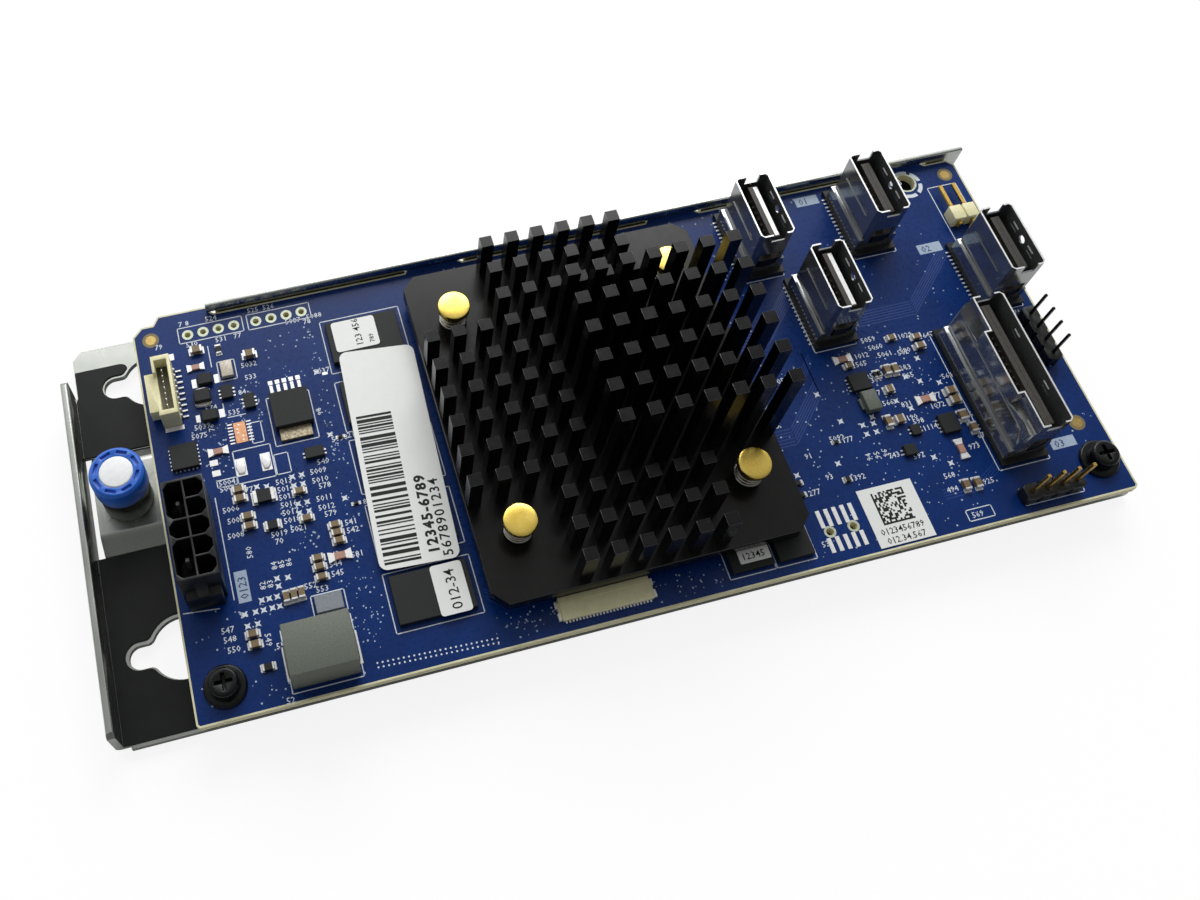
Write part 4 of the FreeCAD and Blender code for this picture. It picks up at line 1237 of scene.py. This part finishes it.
# Printed numerals: x, y, how many digits and turn. The numbers only count up from a first one
FIRST_COUNT = 2
NUMERALS = [(12.8, 0.2, 2, 0), (96.0, 3.0, 2, 0), (9.2, 35.1, 4, 0), (9.2, 34.1, 4, 0),
            (9.0, 30.6, 4, 0), (9.4, 28.7, 4, 0), (9.0, 26.3, 4, 0), (23.2, 33.6, 4, 0),
            (23.2, 32.1, 4, 0), (23.2, 29.0, 4, 0), (23.2, 27.5, 4, 0), (17.7, 33.2, 4, 0),
            (17.7, 31.9, 4, 0), (17.7, 30.6, 4, 0), (17.7, 29.3, 4, 0), (17.7, 28.0, 4, 0),
            (17.7, 26.7, 4, 0), (15.4, 25.0, 4, 0), (15.8, 23.8, 2, 0), (18.4, 25.1, 4, 0),
            (7.6, 64.6, 1, 0), (8.7, 64.6, 1, 0), (12.0, 64.6, 3, 0), (19.0, 64.5, 3, 0),
            (21.6, 64.5, 3, 0), (16.0, 60.3, 2, 0), (27.6, 60.2, 2, 0), (3.2, 61.2, 2, 0),
            (8.2, 60.5, 3, 0), (13.0, 60.3, 3, 0), (16.2, 54.6, 4, 0), (16.4, 52.3, 3, 0),
            (14.9, 49.9, 2, 0), (12.7, 46.7, 3, 0), (26.2, 44.5, 2, -75), (27.4, 50.6, 4, 0),
            (27.6, 38.2, 4, 0), (7.1, 45.4, 4, 0), (24.6, 35.0, 3, 0), (26.6, 24.2, 3, 0),
            (26.6, 22.9, 3, 0), (22.9, 19.7, 3, 0), (22.9, 18.3, 3, 0), (22.9, 16.8, 3, 0),
            (8.6, 14.0, 2, 0), (5.6, 12.3, 3, 0), (5.7, 10.9, 3, 0), (11.6, 10.9, 3, -90),
            (6.0, 9.3, 3, 0), (12.9, 8.2, 3, 0), (18.6, 15.9, 3, 0), (20.2, 15.0, 3, 0),
            (99.4, 30.7, 4, 0), (93.6, 17.7, 2, 0), (110.2, 48.9, 2, 0), (103.0, 65.0, 2, 0),
            (120.0, 46.2, 2, 0), (116.6, 34.4, 4, 0), (117.2, 32.8, 4, 0), (118.2, 31.2, 4, 0),
            (121.6, 30.8, 3, 0), (111.6, 26.0, 2, 0), (126.8, 25.0, 3, 0), (120.6, 26.6, 3, 0),
            (115.2, 22.8, 3, 0), (127.6, 13.8, 2, 0), (119.2, 8.7, 3, 0), (120.6, 1.7, 3, 0),
            (139.9, 33.3, 2, 0), (143.6, 33.2, 3, 0), (136.2, 63.8, 2, -75),
            (131.5, 60.3, 3, -75), (9.3, 48.3, 3, 0), (6.4, 43.9, 4, 0), (10.2, 44.6, 2, 90),
            (11.6, 33.1, 4, 0), (24.0, 31.0, 3, 0), (23.9, 26.3, 3, 0), (12.2, 22.6, 3, 90),
            (26.4, 19.0, 3, 0), (13.2, 17.4, 2, 90), (14.3, 17.4, 2, 90), (15.4, 20.0, 2, 90),
            (16.5, 20.0, 2, 90), (17.6, 20.0, 2, 90), (24.7, 60.9, 4, 0), (28.3, 61.0, 4, 0),
            (94.2, 26.5, 4, 0), (97.6, 23.2, 3, 90), (99.2, 17.2, 2, 0), (104.2, 19.0, 4, 0),
            (101.0, 13.1, 2, 0), (109.6, 14.5, 2, 90), (111.0, 14.5, 2, 90), (112.4, 14.5, 2, 90),
            (116.0, 13.0, 3, 0), (118.6, 18.6, 3, 0)]
# Pale printed plates: x from and to, y from and to, plain counting digits and turn
PLATES = [(8.9, 10.8, 16.2, 21.1, "0123", 90), (116.9, 121.2, 62.6, 64.5, "01", 0),
          (133.9, 138.3, 48.2, 50.1, "02", 0), (138.4, 142.7, 9.0, 10.8, "03", 0)]
# Areas with vias: x from and to, y from and to, and how many
VIA_FIELDS = [(92.5, 101.0, 12.0, 60.0, 120), (20.0, 29.0, 50.0, 60.5, 26),
              (44.0, 54.0, 1.0, 5.5, 40), (69.0, 80.0, 1.0, 4.6, 30),
              (100.0, 128.0, 10.0, 34.0, 170), (116.0, 138.0, 35.0, 60.0, 46),
              (1.5, 14.0, 1.5, 16.0, 34), (6.5, 12.5, 36.0, 47.0, 60),
              (13.0, 18.5, 44.5, 52.0, 40), (46.0, 120.0, 62.5, 65.0, 70),
              (3.0, 30.0, 1.2, 5.0, 10), (26.8, 29.4, 6.0, 60.0, 70),
              (17.5, 22.5, 22.0, 34.0, 50), (22.5, 28.5, 4.5, 16.0, 46),
              (24.5, 28.5, 35.0, 48.0, 24), (93.0, 128.0, 1.0, 9.5, 50),
              (138.0, 147.5, 6.0, 33.0, 30)]
# Bare footprints of chip parts: x and y
STARS = [(20.4, 34.0), (21.9, 34.0), (20.4, 32.5), (21.8, 32.5), (20.4, 29.4), (21.8, 29.4),
         (20.3, 27.9), (21.8, 27.9), (14.8, 33.7), (16.3, 33.4), (12.2, 15.9), (13.3, 15.9),
         (14.5, 15.9), (9.4, 14.4), (11.0, 14.4), (12.2, 14.4), (13.5, 14.4), (14.6, 14.4),
         (9.5, 12.6), (11.0, 12.6), (15.0, 18.6), (15.0, 17.4), (16.6, 18.4), (27.8, 51.0),
         (27.6, 39.6), (27.5, 28.6), (112.6, 21.5), (110.5, 20.5), (112.3, 20.4), (110.5, 18.9),
         (112.2, 18.9), (121.0, 26.9), (123.0, 25.6), (117.6, 23.2), (119.4, 21.4), (126.0, 24.6),
         (103.9, 15.3), (107.3, 22.0), (121.4, 11.0), (119.2, 12.6), (96.8, 15.0), (94.8, 9.8),
         (105.5, 27.4), (124.4, 29.6)]
# Bundles of tracks: the first one's corners, how many and their pitch
TRACKS = [([(92.6, 20.0), (99.0, 20.0), (106.0, 27.0), (106.0, 33.0)], 6, 0.55),
          ([(92.6, 38.0), (101.5, 38.0), (108.2, 44.7)], 7, 0.5),
          ([(92.6, 50.0), (96.0, 50.0), (101.6, 55.6)], 6, 0.5),
          ([(116.5, 44.0), (119.0, 44.0), (124.0, 49.0)], 6, 0.5),
          ([(116.5, 37.5), (128.0, 37.5), (138.4, 47.0)], 6, 0.5),
          ([(92.6, 30.0), (104.0, 30.0), (107.0, 33.0)], 4, 0.5),
          ([(118.0, 5.6), (124.0, 5.6), (129.0, 8.4)], 4, 0.5),
          ([(44.4, 8.0), (47.0, 5.4), (54.0, 5.4)], 4, 0.5)]
# Solder pads: x, y, length along x and along y
PADS = [pad for k in range(5) for pad in ((97.4 + 1.35 * k, 7.3, 0.7, 2.9),
                                          (97.4 + 1.35 * k, 3.0, 0.7, 2.4),
                                          (20.2 + 1.12 * k, 50.8, 0.75, 0.75))]
PADS += [(x, 41.75 + 0.55 * k, 0.8, 0.26) for k in range(7) for x in (12.55, 15.55)]
PADS += [(9.1, 39.2, 1.3, 1.0), (9.2, 37.4, 1.3, 1.0), (4.2, 59.3, 3.6, 1.2),
         (4.2, 46.5, 3.0, 0.8), (8.4, 53.6, 0.8, 1.6), (12.0, 53.7, 0.8, 1.6),
         (8.0, 47.3, 0.7, 1.3), (11.8, 47.4, 0.9, 1.5), (13.8, 5.7, 0.5, 5.0),
         (24.35, 5.7, 0.5, 5.0), (29.1, 50.4, 0.9, 0.5)]
# Solder pools: x, y and lengths. Crescents: x, y and the way they curve
LUMPS = [(13.05, 37.5, 1.7, 3.0), (17.0, 37.5, 1.6, 3.0)]
CRESCENTS = [(9.3, 51.85, 1), (9.3, 49.65, -1)]


# The room as bands of brightness, from straight in front of the card (-1) to straight behind it
SKY_BANDS = [(-1.0, 0.12), (-0.2, 0.16), (0.1, 0.27), (0.32, 0.35), (0.4, 0.2), (0.43, 0.28),
             (0.49, 0.95), (0.75, 1.0), (1.0, 0.8)]
SKY_STRENGTH = 1.55
FLOOR_HALF = 3.0
LAMP_PLACE = (0.12, 0.56, 0.5)
LAMP_ENERGY = 3.2
# The camera, solved from the board's corners and the rows of pins: place in board millimetres,
# then the ways it looks and leans
CAMERA_PLACE = (18.33, -44.61, 181.14)
CAMERA_AHEAD = Vector((0.147687, 0.474162, -0.867962))
CAMERA_SIDEWAYS = Vector((0.966738, -0.254498, 0.025464))
CAMERA_LENS = 37.8
CAMERA_SHIFT = (0.1346, -0.1024)


class CARD_OT_stage(CardOperator, bpy.types.Operator):
    """Pale floor, soft light and the camera"""

    bl_idname = "card.stage"
    bl_label = "Stage"

    def execute(self, context):
        scene = context.scene
        scene.view_settings.view_transform = "Standard"
        self.add_floor(scene)
        self.add_world(scene)
        self.add_lights(scene)
        self.add_camera(scene)
        return {"FINISHED"}

    def add_floor(self, scene):
        bm = bmesh.new()
        bmesh.ops.create_grid(bm, x_segments=2, y_segments=2, size=FLOOR_HALF,
                              matrix=Matrix.Translation((0, 0, cad_box[0][2] - 0.0005)))
        mesh = bpy.data.meshes.new("studio_floor")
        bm.to_mesh(mesh)
        bm.free()
        material = bpy.data.materials.new("white_sweep")
        material.use_nodes = True
        tree = material.node_tree
        tree.nodes.clear()
        ray = add_node(tree, "LightPath")
        matt = add_node(tree, "BsdfDiffuse", {"Color": grey(0.86)})
        glow = add_node(tree, "Emission", {"Color": grey(1.0), "Strength": 1.06})
        seen = add_node(tree, "Math", {0: ray.outputs["Is Camera Ray"],
                                       1: ray.outputs["Is Transmission Ray"]}, operation="MAXIMUM")
        share = add_node(tree, "Math", {0: seen.outputs[0], 1: 0.82}, operation="MULTIPLY")
        mixed = add_node(tree, "MixShader", {0: share.outputs[0], 1: matt.outputs[0],
                                             2: glow.outputs[0]})
        add_node(tree, "OutputMaterial", {"Surface": mixed.outputs[0]})
        mesh.materials.append(material)
        floor = bpy.data.objects.new("studio_floor", mesh)
        scene.collection.objects.link(floor)

    def add_world(self, scene):
        world = bpy.data.worlds.new("studio_sky")
        world.use_nodes = True
        tree = world.node_tree
        tree.nodes.clear()
        way = add_node(tree, "TexCoord").outputs["Generated"]
        parts = add_node(tree, "SeparateXYZ", {"Vector": way})
        level = add_node(tree, "MapRange", {"Value": parts.outputs["Y"], "From Min": -1.0,
                                            "From Max": 1.0})
        bands = add_node(tree, "ValToRGB", {"Fac": level.outputs["Result"]})
        while len(bands.color_ramp.elements) < len(SKY_BANDS):
            bands.color_ramp.elements.new(0.5)
        for element, (towards_back, value) in zip(bands.color_ramp.elements, SKY_BANDS):
            element.position = (towards_back + 1.0) / 2.0
            element.color = grey(value)
        back = add_node(tree, "Math", {0: bands.outputs["Color"], 1: SKY_STRENGTH},
                        operation="MULTIPLY")
        ray = add_node(tree, "LightPath")
        sky = add_node(tree, "Background", {"Color": grey(1.0), "Strength": back.outputs[0]})
        white = add_node(tree, "Background", {"Color": grey(1.0), "Strength": 1.0})
        seen = add_node(tree, "Math", {0: ray.outputs["Is Camera Ray"],
                                       1: ray.outputs["Is Transmission Ray"]}, operation="MAXIMUM")
        mixed = add_node(tree, "MixShader", {0: seen.outputs[0], 1: sky.outputs[0],
                                             2: white.outputs[0]})
        add_node(tree, "OutputWorld", {"Surface": mixed.outputs[0]})
        scene.world = world

    def add_lights(self, scene):
        light = bpy.data.lights.new("overhead_softbox", "AREA")
        light.shape = "RECTANGLE"
        light.size = 0.5
        light.size_y = 0.4
        light.energy = LAMP_ENERGY
        lamp = bpy.data.objects.new("overhead_softbox", light)
        scene.collection.objects.link(lamp)
        lamp.location = LAMP_PLACE
        aim = Vector((0, 0, 0)) - lamp.location
        lamp.rotation_euler = aim.to_track_quat("-Z", "Y").to_euler()

    def add_camera(self, scene):
        data = bpy.data.cameras.new("photo_camera")
        data.sensor_width = 36.0
        data.lens = CAMERA_LENS
        data.shift_x, data.shift_y = CAMERA_SHIFT
        camera = bpy.data.objects.new("photo_camera", data)
        scene.collection.objects.link(camera)
        over = CAMERA_SIDEWAYS.cross(CAMERA_AHEAD)
        turn = Matrix((CAMERA_SIDEWAYS, over, -CAMERA_AHEAD)).transposed()
        camera.matrix_world = Matrix.Translation(at(*CAMERA_PLACE)) @ turn.to_4x4()
        scene.camera = camera


class CARD_PT_panel(bpy.types.Panel):
    """Lists the card's pieces in the sidebar"""

    bl_idname = "CARD_PT_panel"
    bl_label = "Controller card"
    bl_space_type = "VIEW_3D"
    bl_region_type = "UI"
    bl_category = "Card"

    def draw(self, context):
        for group in (context.scene.card_sizes, context.scene.card_colours):
            for key in group.__annotations__:
                self.layout.prop(group, key)
        for operator in PIECES + [CARD_OT_stage]:
            self.layout.operator(operator.bl_idname)


PIECES = [CARD_OT_tray, CARD_OT_film, CARD_OT_board, CARD_OT_print, CARD_OT_heatsink,
          CARD_OT_screws, CARD_OT_power, CARD_OT_ports, CARD_OT_headers, CARD_OT_packages,
          CARD_OT_chips, CARD_OT_plunger, CARD_OT_labels]
CLASSES = [CardSizes, CardColours] + PIECES + [CARD_OT_stage, CARD_PT_panel]


def register():
    for made in CLASSES:
        bpy.utils.register_class(made)
    bpy.types.Scene.card_sizes = bpy.props.PointerProperty(type=CardSizes)
    bpy.types.Scene.card_colours = bpy.props.PointerProperty(type=CardColours)


def unregister():
    del bpy.types.Scene.card_colours
    del bpy.types.Scene.card_sizes
    for made in reversed(CLASSES):
        bpy.utils.unregister_class(made)


def main():
    register()
    for operator in PIECES + [CARD_OT_stage]:
        group, name = operator.bl_idname.split(".")
        getattr(getattr(bpy.ops, group), name)()


if __name__ == "__main__":
    main()
